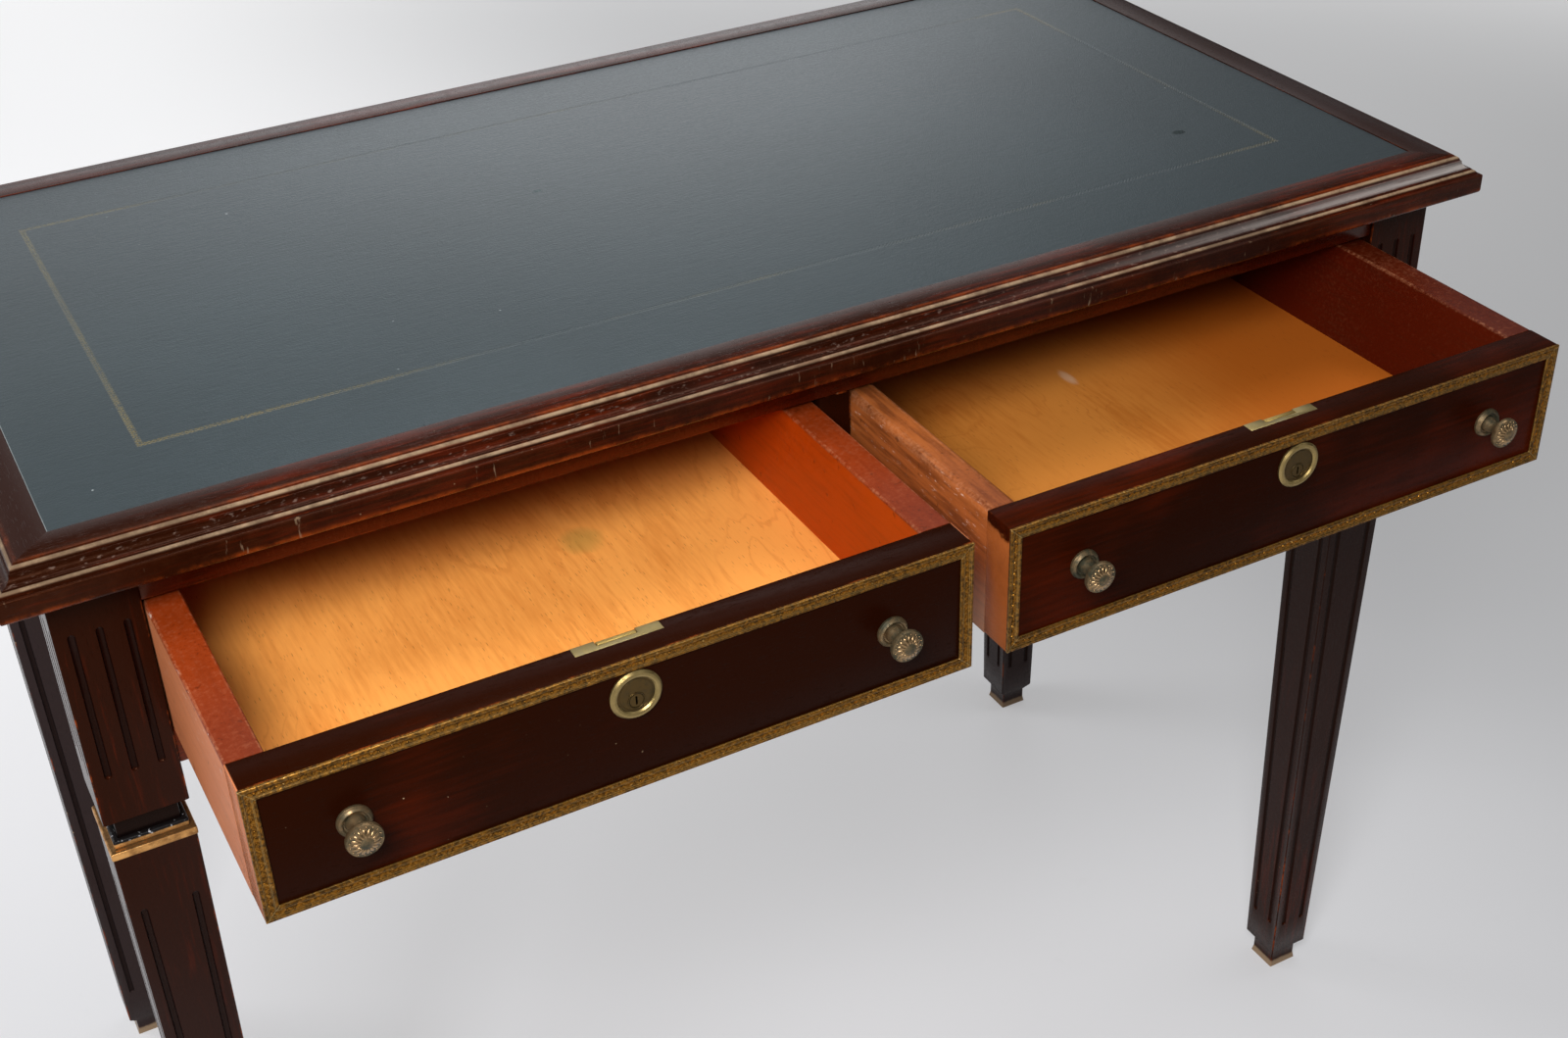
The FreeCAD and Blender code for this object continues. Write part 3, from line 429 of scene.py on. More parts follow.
def wear_moulding(finish, timber, patches, rough_edge):
    """Wear on the top's moulding, by how far in from the top's edge it lies, with a painted highlight on its
    crests, and painted glints and a painted reflection in its cove.
    """
    x, y, z = (finish.axis(letter) for letter in "xyz")
    middle = (TOP_LOW + TOP_HIGH) / 2
    from_side = (TOP_HIGH.x - middle.x) - abs(x - middle.x)
    inwards = from_side.lower((TOP_HIGH.y - middle.y) - abs(y - middle.y))

    def band(limits, soft=0.0004):
        start, stop = limits
        begun = finish.rise(inwards, start - soft, start + soft)
        return begun * (1 - finish.rise(inwards, stop - soft, stop + soft))

    handled = 1 - finish.rise(x * 0.8 + y * 1.6, -0.1, 0.35)
    broken = finish.rise(rough_edge * 0.7 + patches * 0.5, 0.5, 0.72)
    finish.coat(band(INNER_EDGE, 0.0012) * handled * (0.06 + broken * 0.35), timber.rubbed)
    # Tan on the crests: partly rubbed wear, partly a painted highlight.
    finish.coat(band(UPPER_CREST).higher(band(LOWER_CREST)) * (0.3 + broken * 0.45), timber.tan)
    # Painted glints: pale specks that stand in for highlights in the cove.
    glints = finish.rise(finish.noise(420, 3, 0.6, finish.stretched((0.5, 1, 1))), 0.58, 0.7)
    finish.coat(band(COVE) * glints * 0.35, SHADES["cove glint"])
    # A painted reflection of a bright light: silver streaks in the cove, stronger towards the right-hand end.
    reflection_streaks = finish.noise(5, 5, 0.7, finish.stretched((4, 130, 130)))
    painted_reflection = finish.rise(x - y, 0.25, 0.8) * finish.rise(reflection_streaks, 0.15, 0.55)
    finish.coat(band(COVE_BACK, 0.0012) * painted_reflection * 0.95, SHADES["painted cove reflection"])
    fascia = 1 - finish.rise(inwards, 0.001, 0.002)
    finish.coat(fascia * (0.05 + broken * 0.25), SHADES["worn fascia"])
    foot = (1 - finish.rise(z, TOP_LOW.z + 0.001, TOP_LOW.z + 0.005)) * fascia
    finish.coat(foot * broken * 0.7, timber.rubbed)
    scores = finish.rise(finish.noise(5, 3, 0.6, finish.stretched((60, 60, 9))), 0.66, 0.72) * fascia
    finish.coat(scores * 0.3, timber.tan)


def desk_leather(leather):
    """Fine-grained blue-green leather with a rubbed gold line tooled round it, lighter towards the back with
    fading and painted sheen, and a painted highlight on its front and left edges.
    """
    finish = Finish.named("desk_leather", leather.hide)
    x, y = finish.axis("x"), finish.axis("y")
    width = leather.line_width
    reach = LEATHER_HIGH - LEATHER_MIDDLE
    out_x = abs(x - LEATHER_MIDDLE.x) - (reach.x - leather.line_inset)
    out_y = abs(y - LEATHER_MIDDLE.y) - (reach.y - leather.line_inset)
    off_line = out_x.higher(out_y)
    from_line = abs(off_line)
    line = 1 - finish.rise(from_line, width * 0.42, width * 0.5)
    on_long_run = finish.rise(out_y - out_x, -0.0001, 0.0001)
    run = x * on_long_run + y * (1 - on_long_run)
    swing = (run * (2 * math.pi / WEAVE_PITCH)).wave() * (width * 0.26)
    from_strand = abs(off_line - swing).lower(abs(off_line + swing))
    strands = 1 - finish.rise(from_strand, width * 0.09, width * 0.2)
    edge_lines = finish.rise(from_line, width * 0.34, width * 0.38)
    tooling = line * (strands * 0.9).higher(edge_lines * 0.45)
    rubbed = finish.noise(7, 5, 0.65)
    near_corner = finish.rise(out_x.lower(out_y), -0.12, -0.004)
    left_end = 1 - finish.rise(x, -0.4, -0.05)
    kept = finish.rise(rubbed * 0.9 + near_corner * 0.3 + left_end * 0.2, 0.42, 0.95)
    crumbs = finish.rise(finish.noise(900, 2, 0.5), 0.36, 0.52)
    gold = tooling * kept * crumbs
    grain = finish.cells(1 / leather.grain_size)
    pebble = finish.noise(0.55 / leather.grain_size, 3, 0.6)
    streak = finish.noise(3, 5, 0.65, finish.stretched((26, 150, 20)))
    cloud = finish.noise(2.4, 3, 0.5)
    # Lighter towards the back: partly fading, partly painted sheen.
    finish.coat(finish.rise(cloud + y * 0.6, 0.3, 0.9), leather.fade_and_painted_light)
    finish.coat(finish.rise(streak, 0.42, 0.72) * 0.3, SHADES["leather streak"])
    blots = finish.rise(finish.noise(31, 3, 0.6, finish.stretched((1, 1, 1), (7, 3, 0))), 0.76, 0.8)
    for blot_x, blot_y, radius in BLOTS:
        square = radius * radius
        spread = finish.square_from((blot_x, blot_y), BLOT_STRETCH) + (pebble - 0.5) * square
        blots = blots.higher(1 - finish.rise(spread, square * 0.4, square))
    finish.coat(blots * 0.6, SHADES["leather blot"])
    dust = finish.rise(finish.noise(240, 1, 0.4, finish.stretched((1, 1, 1), (2, 9, 0))), 0.83, 0.86)
    finish.coat(dust * 0.6, SHADES["leather dust"])
    finish.coat(gold * 0.6, leather.gold)
    # The cut edge is pale towards the front and left: partly worn, partly a painted highlight.
    worn_and_lit_edge = finish.mark("arris") * (1 - finish.rise(x + y * 1.5, -0.35, 0.2))
    finish.coat(worn_and_lit_edge * (0.2 + rubbed * 0.8), SHADES["worn leather edge and painted highlight"])
    roughness = 0.37 + (pebble - 0.5) * 0.2 + blots * -0.12 + gold * -0.08
    height = grain * 0.5 + pebble * 0.7 + streak * 1.2 + line * strands * -1.2
    return finish.close(
        roughness, metallic=(gold * 0.45).higher(blots * 0.7), specular_tint=(0.88, 1.0, 1.05, 1),
        normal=finish.bump(height, 0.00024, 0.7))


def drawer_floor_timber(name, drawer, ground, right_darkening=0.0):
    """Honey-coloured boards with short dark flecks that run from front to back, and a painted shadow under
    the top.
    """
    finish = Finish.named(name, ground)
    x, y = finish.axis("x"), finish.axis("y")
    figure = finish.noise(2.2, 3, 0.5, finish.stretched((4.0, 1.6, 1.0)), 0.8)
    streaks = finish.noise(6, 6, 0.6, finish.stretched((60, 5, 1)))
    deep = dimmed(ground, (0.7, 0.54, 0.36))
    finish.coat(finish.rise(figure * 0.7 + streaks * 0.4, 0.46, 0.78) * 0.8, deep)
    contour = abs((figure * 15 + streaks * 0.6) % 1.0 - 0.5)
    rings = (1 - finish.rise(contour, 0.02, 0.1)) * finish.rise(finish.noise(9, 3, 0.5), 0.42, 0.62)
    finish.coat(rings * 0.28, dimmed(ground, (0.62, 0.42, 0.25)))
    # Darker towards the right-hand end, by as much as is asked.
    far = finish.rise(x + (figure - 0.5) * 0.06 + (streaks - 0.5) * 0.05, 0.19, 0.32)
    finish.coat(far * right_darkening, dimmed(ground, (0.72, 0.5, 0.3)))
    sparse = finish.noise(38, 2, 0.5)
    flecks = 1 - finish.rise(finish.cells(1, finish.stretched((760, 84, 1))), 0.1, 0.22)
    flecks = flecks * finish.rise(sparse, 0.36, 0.6)
    finish.coat(flecks * 0.5, drawer.fleck)
    grime = finish.noise(1.7, 3, 0.6, finish.stretched((1.2, 2.0, 1.0), (4, 2, 0)))
    finish.coat(finish.rise(grime, 0.55, 0.8) * 0.35, deep)
    stain = finish.square_from(STAIN_PLACE) + (sparse - 0.5) * 0.0003
    finish.coat((1 - finish.rise(stain, 0.00002, 0.0003)) * 0.5, SHADES["green stain"])
    smear = finish.square_from(SMEAR_PLACE, SMEAR_STRETCH) + (streaks - 0.5) * 0.0002
    finish.coat((1 - finish.rise(smear, 0.00001, 0.00018)) * 0.4, SHADES["pale smear"])
    # A painted shadow where the top shades the back of the drawer.
    painted_top_shadow = finish.rise(y + (figure - 0.5) * 0.04, TOP_LOW.y + 0.06, TOP_LOW.y + 0.14)
    finish.coat(painted_top_shadow * 0.6, dimmed(ground, (0.5, 0.17, 0.05)))
    roughness = 0.4 + (streaks - 0.5) * 0.14 + flecks * 0.15
    return finish.close(
        roughness, specular_ior_level=0.2, normal=finish.bump(streaks * 0.3 - flecks, 0.00012))


def drawer_side_timber(name, node, hand, outer, inner, top, scuffed, grained, fade_and_painted_light=0.0):
    """Stained side of a drawer, with its own colour outside, inside and on its rubbed top, and low on its
    outside a painted shadow further back and pale wear at the front.
    """
    finish = Finish.named(name, inner)
    x, y, z = (finish.axis(letter) for letter in "xyz")
    low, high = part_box(node)
    outside = 1 - finish.rise(x - low.x if hand == "left" else high.x - x, 0.0006, 0.0022)
    above = finish.rise(z, high.z - 0.0024, high.z - 0.0008)
    streaks = finish.noise(4, 7, 0.6, finish.stretched((70, 6, 70)))
    mottle = finish.noise(420, 5, 0.7)
    cloud = finish.noise(11, 4, 0.6)
    finish.coat(outside, outer)
    finish.coat(above, top)
    finish.coat(finish.rise(streaks * 0.7 + cloud * 0.4, 0.48, 0.7) * grained, SHADES["side grain"])
    forward = 1 - finish.rise(y, low.y + 0.01, low.y + 0.09)
    # Low on the outside: a painted shadow further back, and pale wear at the front.
    foot = outside * (1 - finish.rise(z, low.z + 0.01, low.z + 0.055)) * fade_and_painted_light
    finish.coat(foot * (1 - forward), SHADES["painted shadow at foot"])
    finish.coat(foot * forward * (cloud + 0.2), SHADES["pale foot"])
    finish.coat(above * forward * 0.45, SHADES["handled top"])
    speckle = finish.rise(mottle * 0.75 + cloud * 0.3, 0.5, 0.68)
    finish.coat(speckle * (0.05 + above * 0.08), SHADES["side speckle"])
    darker = finish.rise(mottle * -0.7 - cloud * 0.45, -0.52, -0.38)
    finish.coat(darker * (0.15 + above * 0.55), SHADES["dark mottle"])
    worn = finish.mark("arris") * finish.rise(mottle * 0.6 + cloud * 0.4, 0.42, 0.6)
    finish.coat(worn * 0.25, SHADES["worn side"])
    scuffs = finish.rise(finish.noise(15, 6, 0.72, finish.stretched((40, 7, 26))), 0.6, 0.68) * outside
    finish.coat(scuffs * finish.rise(z, low.z + 0.02, high.z) * scuffed, SHADES["side scuff"])
    dents = finish.rise(finish.noise(130, 2, 0.5), 0.68, 0.76)
    finish.coat(dents * 0.4, SHADES["side dent"])
    roughness = 0.42 + (mottle - 0.5) * 0.22 + scuffs * 0.1
    return finish.close(
        roughness, specular_ior_level=0.16, specular_tint=(1.0, 0.7, 0.5, 1),
        normal=finish.bump(streaks * 0.5 + mottle * 0.4 - dents, 0.00025))


def carcass_timber(drawer):
    """Bare, dusty softwood out of sight."""
    finish = Finish.named("carcass_timber", drawer.carcass)
    streaks = finish.noise(5, 6, 0.6, finish.stretched((40, 9, 40)))
    dust = finish.noise(14, 4, 0.6)
    finish.coat(finish.rise(streaks, 0.35, 0.7), SHADES["carcass grain"])
    finish.coat(finish.rise(dust, 0.5, 0.75) * 0.3, SHADES["carcass dust"])
    return finish.close(0.62 + (dust - 0.5) * 0.2, normal=finish.bump(streaks, 0.0003))


def aged_metal(name, bright, dull, brightness, roughness, grain, pits):
    """Metal with a dull film in its hollows and a rubbed shine on what stands proud."""
    finish = Finish.named(name, bright)
    film = finish.noise(grain, 5, 0.62)
    cloud = finish.noise(grain * 0.22, 3, 0.5)
    proud = finish.mark("proud")
    shift = 0.3 * (1 - brightness)
    dulled = finish.rise(film * 0.6 + cloud * 0.5 - proud * 0.35, 0.62 - shift, 0.98 - shift)
    finish.coat(dulled, dull)
    holes = finish.rise(finish.noise(grain * 3, 2, 0.5), 0.62, 0.72)
    finish.coat(holes * pits, dull)
    return finish.close(
        roughness + dulled * 0.22 + holes * 0.15 - proud * 0.06, metallic=0.96 - dulled * 0.35,
        normal=finish.bump(film * 0.5 - holes, 0.00012))


def embossed_frame(metal):
    """Antique brass strip stamped with foliage, darker in its hollows, pale along its mitres, with painted
    glints and a painted highlight along its edges.
    """
    finish = Finish.named("embossed_brass", metal.frame_crevice)
    curls = finish.noise(480, 3, 0.55, None, 0.5)
    cloud = finish.noise(22, 3, 0.55)
    raised = finish.rise(curls * 1.1 + finish.mark("proud") * 0.14 + cloud * 0.2, 0.48, 0.86)
    finish.coat(raised, metal.frame)
    finish.coat(finish.rise(cloud, 0.5, 0.72) * 0.35, SHADES["dull brass"])
    # Painted glints on the raised foliage and a painted highlight along the strips' edges; the mitres are
    # rubbed pale.
    glint = finish.rise(finish.noise(800, 1, 0.4), 0.66, 0.75) * raised
    low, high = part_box("left_drawer_front")
    middle = (low + high) / 2
    past_end = abs(abs(finish.axis("x")) - abs(middle.x)) - (high.x - middle.x)
    past_edge = abs(finish.axis("z") - middle.z) - (high.z - middle.z)
    mitre = 1 - finish.rise(abs(past_end - past_edge), 0.0001, 0.0005)
    pale = glint.higher(finish.mark("arris") * 0.5).higher(mitre * 0.8)
    finish.coat(pale * 0.5, SHADES["rubbed brass and painted highlight"])
    return finish.close(
        0.5 - raised * 0.14 - glint * 0.12, metallic=0.6 + raised * 0.25, specular_ior_level=0.1,
        normal=finish.bump(raised + curls * 0.4, 0.0003))


def gilt_collar(metal, node):
    """Rubbed gilding on a collar's rim, with black polish left in the tray inside it, painted glints on both,
    and a painted shadow line at the step.
    """
    finish = Finish.named(f"gilt_{node}", metal.gilt)
    z = finish.axis("z")
    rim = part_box(node)[1].z
    film = finish.noise(130, 5, 0.65)
    cloud = finish.noise(40, 3, 0.5)
    rubbed = finish.rise(film * 0.6 + cloud * 0.5, 0.42, 0.7)
    finish.coat(rubbed * 0.75, SHADES["under gilt"])
    # Painted glints, pale specks on the gilt and on the black polish.
    glint = finish.rise(finish.noise(420, 2, 0.5), 0.62, 0.72)
    finish.coat(glint * 0.35, SHADES["gilt glint"])
    # A painted shadow line where the lower band meets the step above it.
    step_shadow = 1 - finish.rise(abs(z - (rim - 0.0052)), 0.0004, 0.0009)
    finish.coat(step_shadow * 0.7, SHADES["painted step shadow"])
    tray = finish.rise(z + (film - 0.5) * 0.001, rim - 0.0024, rim - 0.0016)
    finish.coat(tray, finish.mix(glint * 0.7, SHADES["black polish"], SHADES["polish glint"]))
    return finish.close(
        0.36 + rubbed * 0.2, metallic=(1 - tray) * (0.8 - rubbed * 0.4), specular_ior_level=0.15,
        normal=finish.bump(film, 0.0003, 0.6))


def studio_floor(stage):
    """A pale floor with faint scuffs, painted brighter towards the light."""
    finish = Finish.named("studio_floor", stage.floor)
    across, away = finish.axis("x"), finish.axis("y")
    cloud = finish.noise(0.8, 3, 0.5)
    # Painted light: the floor's colour darkens away from the lamps.
    finish.coat(finish.rise(across + away * 0.2 + (cloud - 0.5) * 0.3, 0.0, 1.5), stage.floor_far)
    scuffs = finish.rise(finish.noise(5, 8, 0.75, None, 1.5), 0.63, 0.7)
    finish.coat(scuffs * 0.14, SHADES["floor scuff"])
    # Painted light: a glow that only the camera and reflections see, brighter to the left and the back.
    seen = finish.add("ShaderNodeLightPath", output="Is Camera Ray").higher(
        finish.add("ShaderNodeLightPath", output="Is Glossy Ray"))
    right_hand = finish.rise(across, 0.0, 1.1)
    painted_light_lift = 0.38 - right_hand * 0.19 + finish.rise(away, 0.3, 1.6) * (0.27 - right_hand * 0.16)
    distant = finish.rise(across * across + away * away, 5.0, 14.0)
    painted_light_lift = painted_light_lift + (0.72 - painted_light_lift) * distant
    glow = finish.mix(seen * painted_light_lift, (0, 0, 0), (1, 1, 1))
    return finish.close(0.55 + (cloud - 0.5) * 0.1, emission_color=glow, emission_strength=1.0)


def settings_of(context):
    return context.scene.partners_desk


def mesh_of(node):
    """A copy of one node's mesh, with its loose triangles merged and flat areas joined."""
    mesh = bmesh.new()
    mesh.from_mesh(NODES[node].data)
    bmesh.ops.remove_doubles(mesh, verts=mesh.verts, dist=MERGE_DISTANCE)
    bmesh.ops.dissolve_limit(
        mesh, angle_limit=math.radians(0.6), use_dissolve_boundaries=False, verts=mesh.verts,
        edges=mesh.edges)
    return mesh


def ease_edges(mesh, width, least_angle=32, steps=2, chosen=None):
    """Rounds the sharp edges and marks the narrow faces this makes."""
    layer = mesh.faces.layers.float.get("arris") or mesh.faces.layers.float.new("arris")
    sharp = [e for e in mesh.edges if e.is_manifold and e.calc_face_angle(0) > math.radians(least_angle)]
    edges = [e for e in sharp if chosen is None or chosen(e)]
    made = bmesh.ops.bevel(
        mesh, geom=edges, offset=width, offset_type="OFFSET", segments=steps, profile=0.5, affect="EDGES",
        material=-1, clamp_overlap=True)
    for face in made["faces"]:
        face[layer] = 1.0
    return mesh


def add_bead(mesh, proud, place, fineness):
    """A small rounded form, its faces marked as standing proud."""
    made = bmesh.ops.create_icosphere(mesh, subdivisions=fineness, radius=1, matrix=place)
    for vert in made["verts"]:
        for face in vert.link_faces:
            face[proud] = 1.0


def set_piece(name, mesh, material, body, replaced=(), smooth=38):
    """Turns a bmesh into a piece that rides on a body and stands for its nodes."""
    data = bpy.data.meshes.new(name)
    for face in mesh.faces:
        face.smooth = True
    for edge in mesh.edges:
        edge.smooth = edge.calc_face_angle(0) < math.radians(smooth) if edge.is_manifold else False
    mesh.to_mesh(data)
    mesh.free()
    data.materials.append(material)
    piece = bpy.data.objects.new(name, data)
    bpy.context.scene.collection.objects.link(piece)
    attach(piece, body)
    if replaced:
        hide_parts(*replaced)
    return piece


def dress_node(node, material):
    """Gives a node that keeps its own shape a better finish."""
    data = NODES[node].data
    data.materials.clear()
    data.materials.append(material)


def longer_than(least):
    return lambda edge: edge.calc_length() > least


def runs_along(axis):
    """Picks the edges that run along one axis."""
    def picked(edge):
        run = edge.verts[1].co - edge.verts[0].co
        return abs(run[axis]) > 0.9 * run.length
    return picked


def upper_edges(node):
    """Picks the long edges round the top of one board."""
    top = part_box(node)[1].z

    def picked(edge):
        return edge.calc_length() > 0.1 and min(vert.co.z for vert in edge.verts) > top - 0.0001
    return picked


def eased_piece(node, material, width, **options):
    """A softened copy of one node, in place of it."""
    mesh = ease_edges(mesh_of(node), width, **options)
    return set_piece("soft_" + node, mesh, material, BODY_OF[node], [node])


class DESK_OT_lay_leather(bpy.types.Operator):
    """Lays the writing leather with its gold line into the top"""

    bl_idname = "desk.lay_leather"
    bl_label = "Lay Writing Leather"

    def execute(self, context):
        leather = settings_of(context).leather
        eased_piece("writing_leather", desk_leather(leather), EASED_WIDTH["leather"], steps=3)
        return {"FINISHED"}


class DESK_OT_fit_top_border(bpy.types.Operator):
    """Fits the four moulded pieces round the top"""

    bl_idname = "desk.fit_top_border"
    bl_label = "Fit Top Border"

    def execute(self, context):
        timber = settings_of(context).timber
        long_wood = dark_timber(
            "border_timber_long", "x", timber, redness=0.65, bloom=0.5, rubbed=0.5, shine=0.16, moulded=True)
        cross_wood = dark_timber(
            "border_timber_cross", "y", timber, redness=0.2, bloom=0.6, rubbed=0.5, shine=0.1, moulded=True)
        for edges, wood, axis in ((("front", "back"), long_wood, 0), (SIDES, cross_wood, 1)):
            for edge in edges:
                eased_piece(f"top_border_{edge}", wood, timber.arris * 0.7, chosen=runs_along(axis))
        return {"FINISHED"}


class DESK_OT_stand_legs(bpy.types.Operator):
    """Stands the four fluted legs with their gilt collars"""

    bl_idname = "desk.stand_legs"
    bl_label = "Stand Legs"

    def execute(self, context):
        settings = settings_of(context)
        timber = settings.timber
        woods = {
            "front": dark_timber("leg_timber", "z", timber, redness=0.5, bloom=0.4, shine=0.11, fluted=True),
            "back": dark_timber("back_leg_timber", "z", timber, redness=0.15, bloom=2.2, fluted=True),
        }
        for corner in CORNERS:
            collar = f"leg_collar_{corner}"
            self.stand_leg(f"leg_{corner}", woods[corner.split("_")[0]])
            eased_piece(collar, gilt_collar(settings.metal, collar), EASED_WIDTH["collar"])
        return {"FINISHED"}

    def stand_leg(self, node, wood):
        """Marks the insides of one leg's flutes and its rounded corners, for the finish."""
        least_depth, least_cheek, corner_width = 0.0004, 0.003, 0.0012
        mesh = mesh_of(node)
        hollow = mesh.faces.layers.float.new("hollow")
        arris = mesh.faces.layers.float.new("arris")
        low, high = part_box(node)
        middle = (low + high) / 2

        def off_axis(point):
            return sorted((abs(point.x - middle.x), abs(point.y - middle.y)))

        widest = {}
        for vert in mesh.verts:
            height = round(vert.co.z, 4)
            widest[height] = max(widest.get(height, 0), off_axis(vert.co)[1])
        heights = sorted(widest)
        for face in mesh.faces:
            point = face.calc_center_median()
            place = min(max(bisect.bisect_left(heights, point.z), 1), len(heights) - 1)
            below, above = heights[place - 1], heights[place]
            surface = widest[below] + (widest[above] - widest[below]) * (point.z - below) / (above - below)
            inner, outer = off_axis(point)
            upright = abs(face.normal.z) < 0.3
            sunk = outer < surface - least_depth and inner < surface - least_cheek
            face[hollow] = 1.0 if upright and sunk else 0.0
            face[arris] = 1.0 if upright and inner > surface - corner_width else 0.0
        set_piece("soft_" + node, mesh, wood, BODY_OF[node], [node])


class DESK_OT_frame_frieze(bpy.types.Operator):
    """Frames the frieze with rails, stiles, aprons and the false fronts at the back"""

    bl_idname = "desk.frame_frieze"
    bl_label = "Frame Frieze"

    def execute(self, context):
        timber = settings_of(context).timber
        rail_wood = dark_timber("rail_timber", "x", timber, redness=1.2, shine=0.3)
        stile_wood = dark_timber("stile_timber", "z", timber, redness=0.3)
        apron_wood = dark_timber("apron_timber", "y", timber, bloom=0.2)
        panel_wood = dark_timber("panel_timber", "x", timber, bloom=0.12)
        for nodes, wood in (
            (("front_top_rail", "front_lower_rail", "back_top_rail", "back_lower_rail"), rail_wood),
            (("front_stile", "back_stile"), stile_wood),
            (("side_apron_left", "side_apron_right"), apron_wood),
            (("false_front_left", "false_front_right"), panel_wood),
        ):
            for node in nodes:
                eased_piece(node, wood, timber.arris)
        return {"FINISHED"}


class DESK_OT_finish_carcass(bpy.types.Operator):
    """Finishes the hidden runners, kickers, stops, core and screws"""

    bl_idname = "desk.finish_carcass"
    bl_label = "Finish Carcass"

    def execute(self, context):
        wood = carcass_timber(settings_of(context).drawer)
        for node in ("drawer_kickers", "drawer_stops", "drawer_runner_left", "drawer_runner_right",
                     "drawer_runner_centre", "top_core"):
            dress_node(node, wood)
        steel = aged_metal(
            "screw_steel", paint("8c8c88"), dull=paint("4a3a2c"), brightness=0.5, roughness=0.4, grain=260,
            pits=0.4)
        dress_node("top_screws", steel)
        return {"FINISHED"}


class DESK_OT_join_drawers(bpy.types.Operator):
    """Joins the boards of both drawers"""

    bl_idname = "desk.join_drawers"
    bl_label = "Join Drawers"

    def execute(self, context):
        settings = settings_of(context)
        timber, drawer = settings.timber, settings.drawer
        floor_woods = {
            "left": drawer_floor_timber("left_floor_timber", drawer, drawer.left_floor),
            "right": drawer_floor_timber("right_floor_timber", drawer, drawer.right_floor, right_darkening=1.0),
        }
        left_stains = {"outer": drawer.salmon, "inner": drawer.orange, "top": drawer.russet}
        right_stains = {"outer": drawer.brown, "inner": drawer.deep_red}
        side_looks = {
            ("left", "left"): {**left_stains, "scuffed": 0.8, "grained": 0.15},
            ("left", "right"): {**left_stains, "scuffed": 0.2, "grained": 0.2},
            ("right", "left"): {
                **right_stains, "top": drawer.brown, "scuffed": 0.5, "grained": 0.6, "fade_and_painted_light": 0.7},
            ("right", "right"): {**right_stains, "top": timber.red, "scuffed": 0.2, "grained": 0.4},
        }
        front_looks = {"left": {"redness": 0.2, "shine": 0.035}, "right": {"redness": 0.95, "shine": 0.02}}
        end_looks = {"left": (drawer.salmon, 0.0), "right": (drawer.brown, 0.010)}
        for side in SIDES:
            prefix = f"{side}_drawer_"
            low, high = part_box(prefix + "front")
            stain, polish_drop = end_looks[side]
            front_wood = dark_timber(
                prefix + "front_timber", "x", timber, bloom=0.0, rubbed=0.6, streaky=0.2, **front_looks[side],
                ends=[(end, stain, high.z - polish_drop) for end in (low.x, high.x)])
            eased_piece(prefix + "front", front_wood, timber.arris, chosen=longer_than(0.02))
            for hand in SIDES:
                node = f"{prefix}{hand}_side"
                wood = drawer_side_timber(f"{node}_timber", node, hand, **side_looks[side, hand])
                rounding = EASED_WIDTH["rubbed side" if (side, hand) == ("right", "left") else "drawer side"]
                eased_piece(node, wood, rounding, steps=4, chosen=upper_edges(node))
            eased_piece(prefix + "back", wood, EASED_WIDTH["drawer back"])
            dress_node(prefix + "bottom", floor_woods[side])
        return {"FINISHED"}


class DESK_OT_pin_brass_frames(bpy.types.Operator):
    """Pins the stamped brass frames round the drawer fronts and false fronts"""

    bl_idname = "desk.pin_brass_frames"
    bl_label = "Pin Brass Frames"

    def execute(self, context):
        metal = settings_of(context).metal
        brass = embossed_frame(metal)
        for side in SIDES:
            self.frame_up(f"{side}_drawer_trim", -1, metal, brass)
        self.frame_up("false_front_trim", 1, metal, brass)
        return {"FINISHED"}

    def frame_up(self, trim, outward, metal, brass):
        """Joins the strips at their mitres and stamps each run of them."""
        mesh = mesh_of(trim)
        bmesh.ops.delete(mesh, geom=[f for f in mesh.faces if self.is_mitre(f)], context="FACES_ONLY")
        bmesh.ops.remove_doubles(mesh, verts=mesh.verts, dist=0.000005)
        proud = mesh.faces.layers.float.new("proud")
        outlines = self.outlines(mesh)
        ease_edges(mesh, EASED_WIDTH["brass strip"], least_angle=40, steps=1)
        inset = metal.strip / 2
        for low, high in outlines:
            board_face = high.y if outward < 0 else low.y
            channel = board_face + outward * metal.channel
            left, right, foot, head = low.x + inset, high.x - inset, low.z + inset, high.z - inset
            corners = [Vector((x, channel, z)) for x, z in (
                (left, foot), (right, foot), (right, head), (left, head))]
            for start, end in zip(corners, corners[1:] + corners[:1]):
                self.stamp(mesh, proud, start, end, outward, metal)
        set_piece("stamped_" + trim, mesh, brass, BODY_OF[trim], [trim])

    def is_mitre(self, face):
        normal = face.normal
        return abs(normal.y) < 0.1 and abs(abs(normal.x) - abs(normal.z)) < 0.2

    def outlines(self, mesh):
        """The low and high corners of each frame, on either side of the desk's middle."""
        found = []
        for sign in (-1, 1):
            points = [vert.co for vert in mesh.verts if vert.co.x * sign > 0]
            if points:
                found.append([Vector([pick(p[i] for p in points) for i in range(3)]) for pick in (min, max)])
        return found

    def stamp(self, mesh, proud, start, end, outward, metal):
        """A row of leaning leaves with beads between them along one strip."""
        run = (end - start).normalized()
        out = Vector((0, outward, 0))
        turn = Matrix((run, out.cross(run), out)).transposed().to_4x4()
        count = round((end - start).length / metal.leaf_pitch)
        leaf = Matrix.Diagonal((*LEAF_SIZE, metal.relief, 1))
        bead = Matrix.Diagonal((*BEAD_SIZE, metal.relief * BEAD_RISE, 1))
        for i in range(count):
            lean = Matrix.Rotation(LEAF_LEAN if i % 2 else -LEAF_LEAN, 4, "Z")
            for along, form in ((i + 0.5, leaf), (i + 1.0, bead)):
                place = Matrix.Translation(start.lerp(end, along / count))
                add_bead(mesh, proud, place @ turn @ lean @ form, 1)


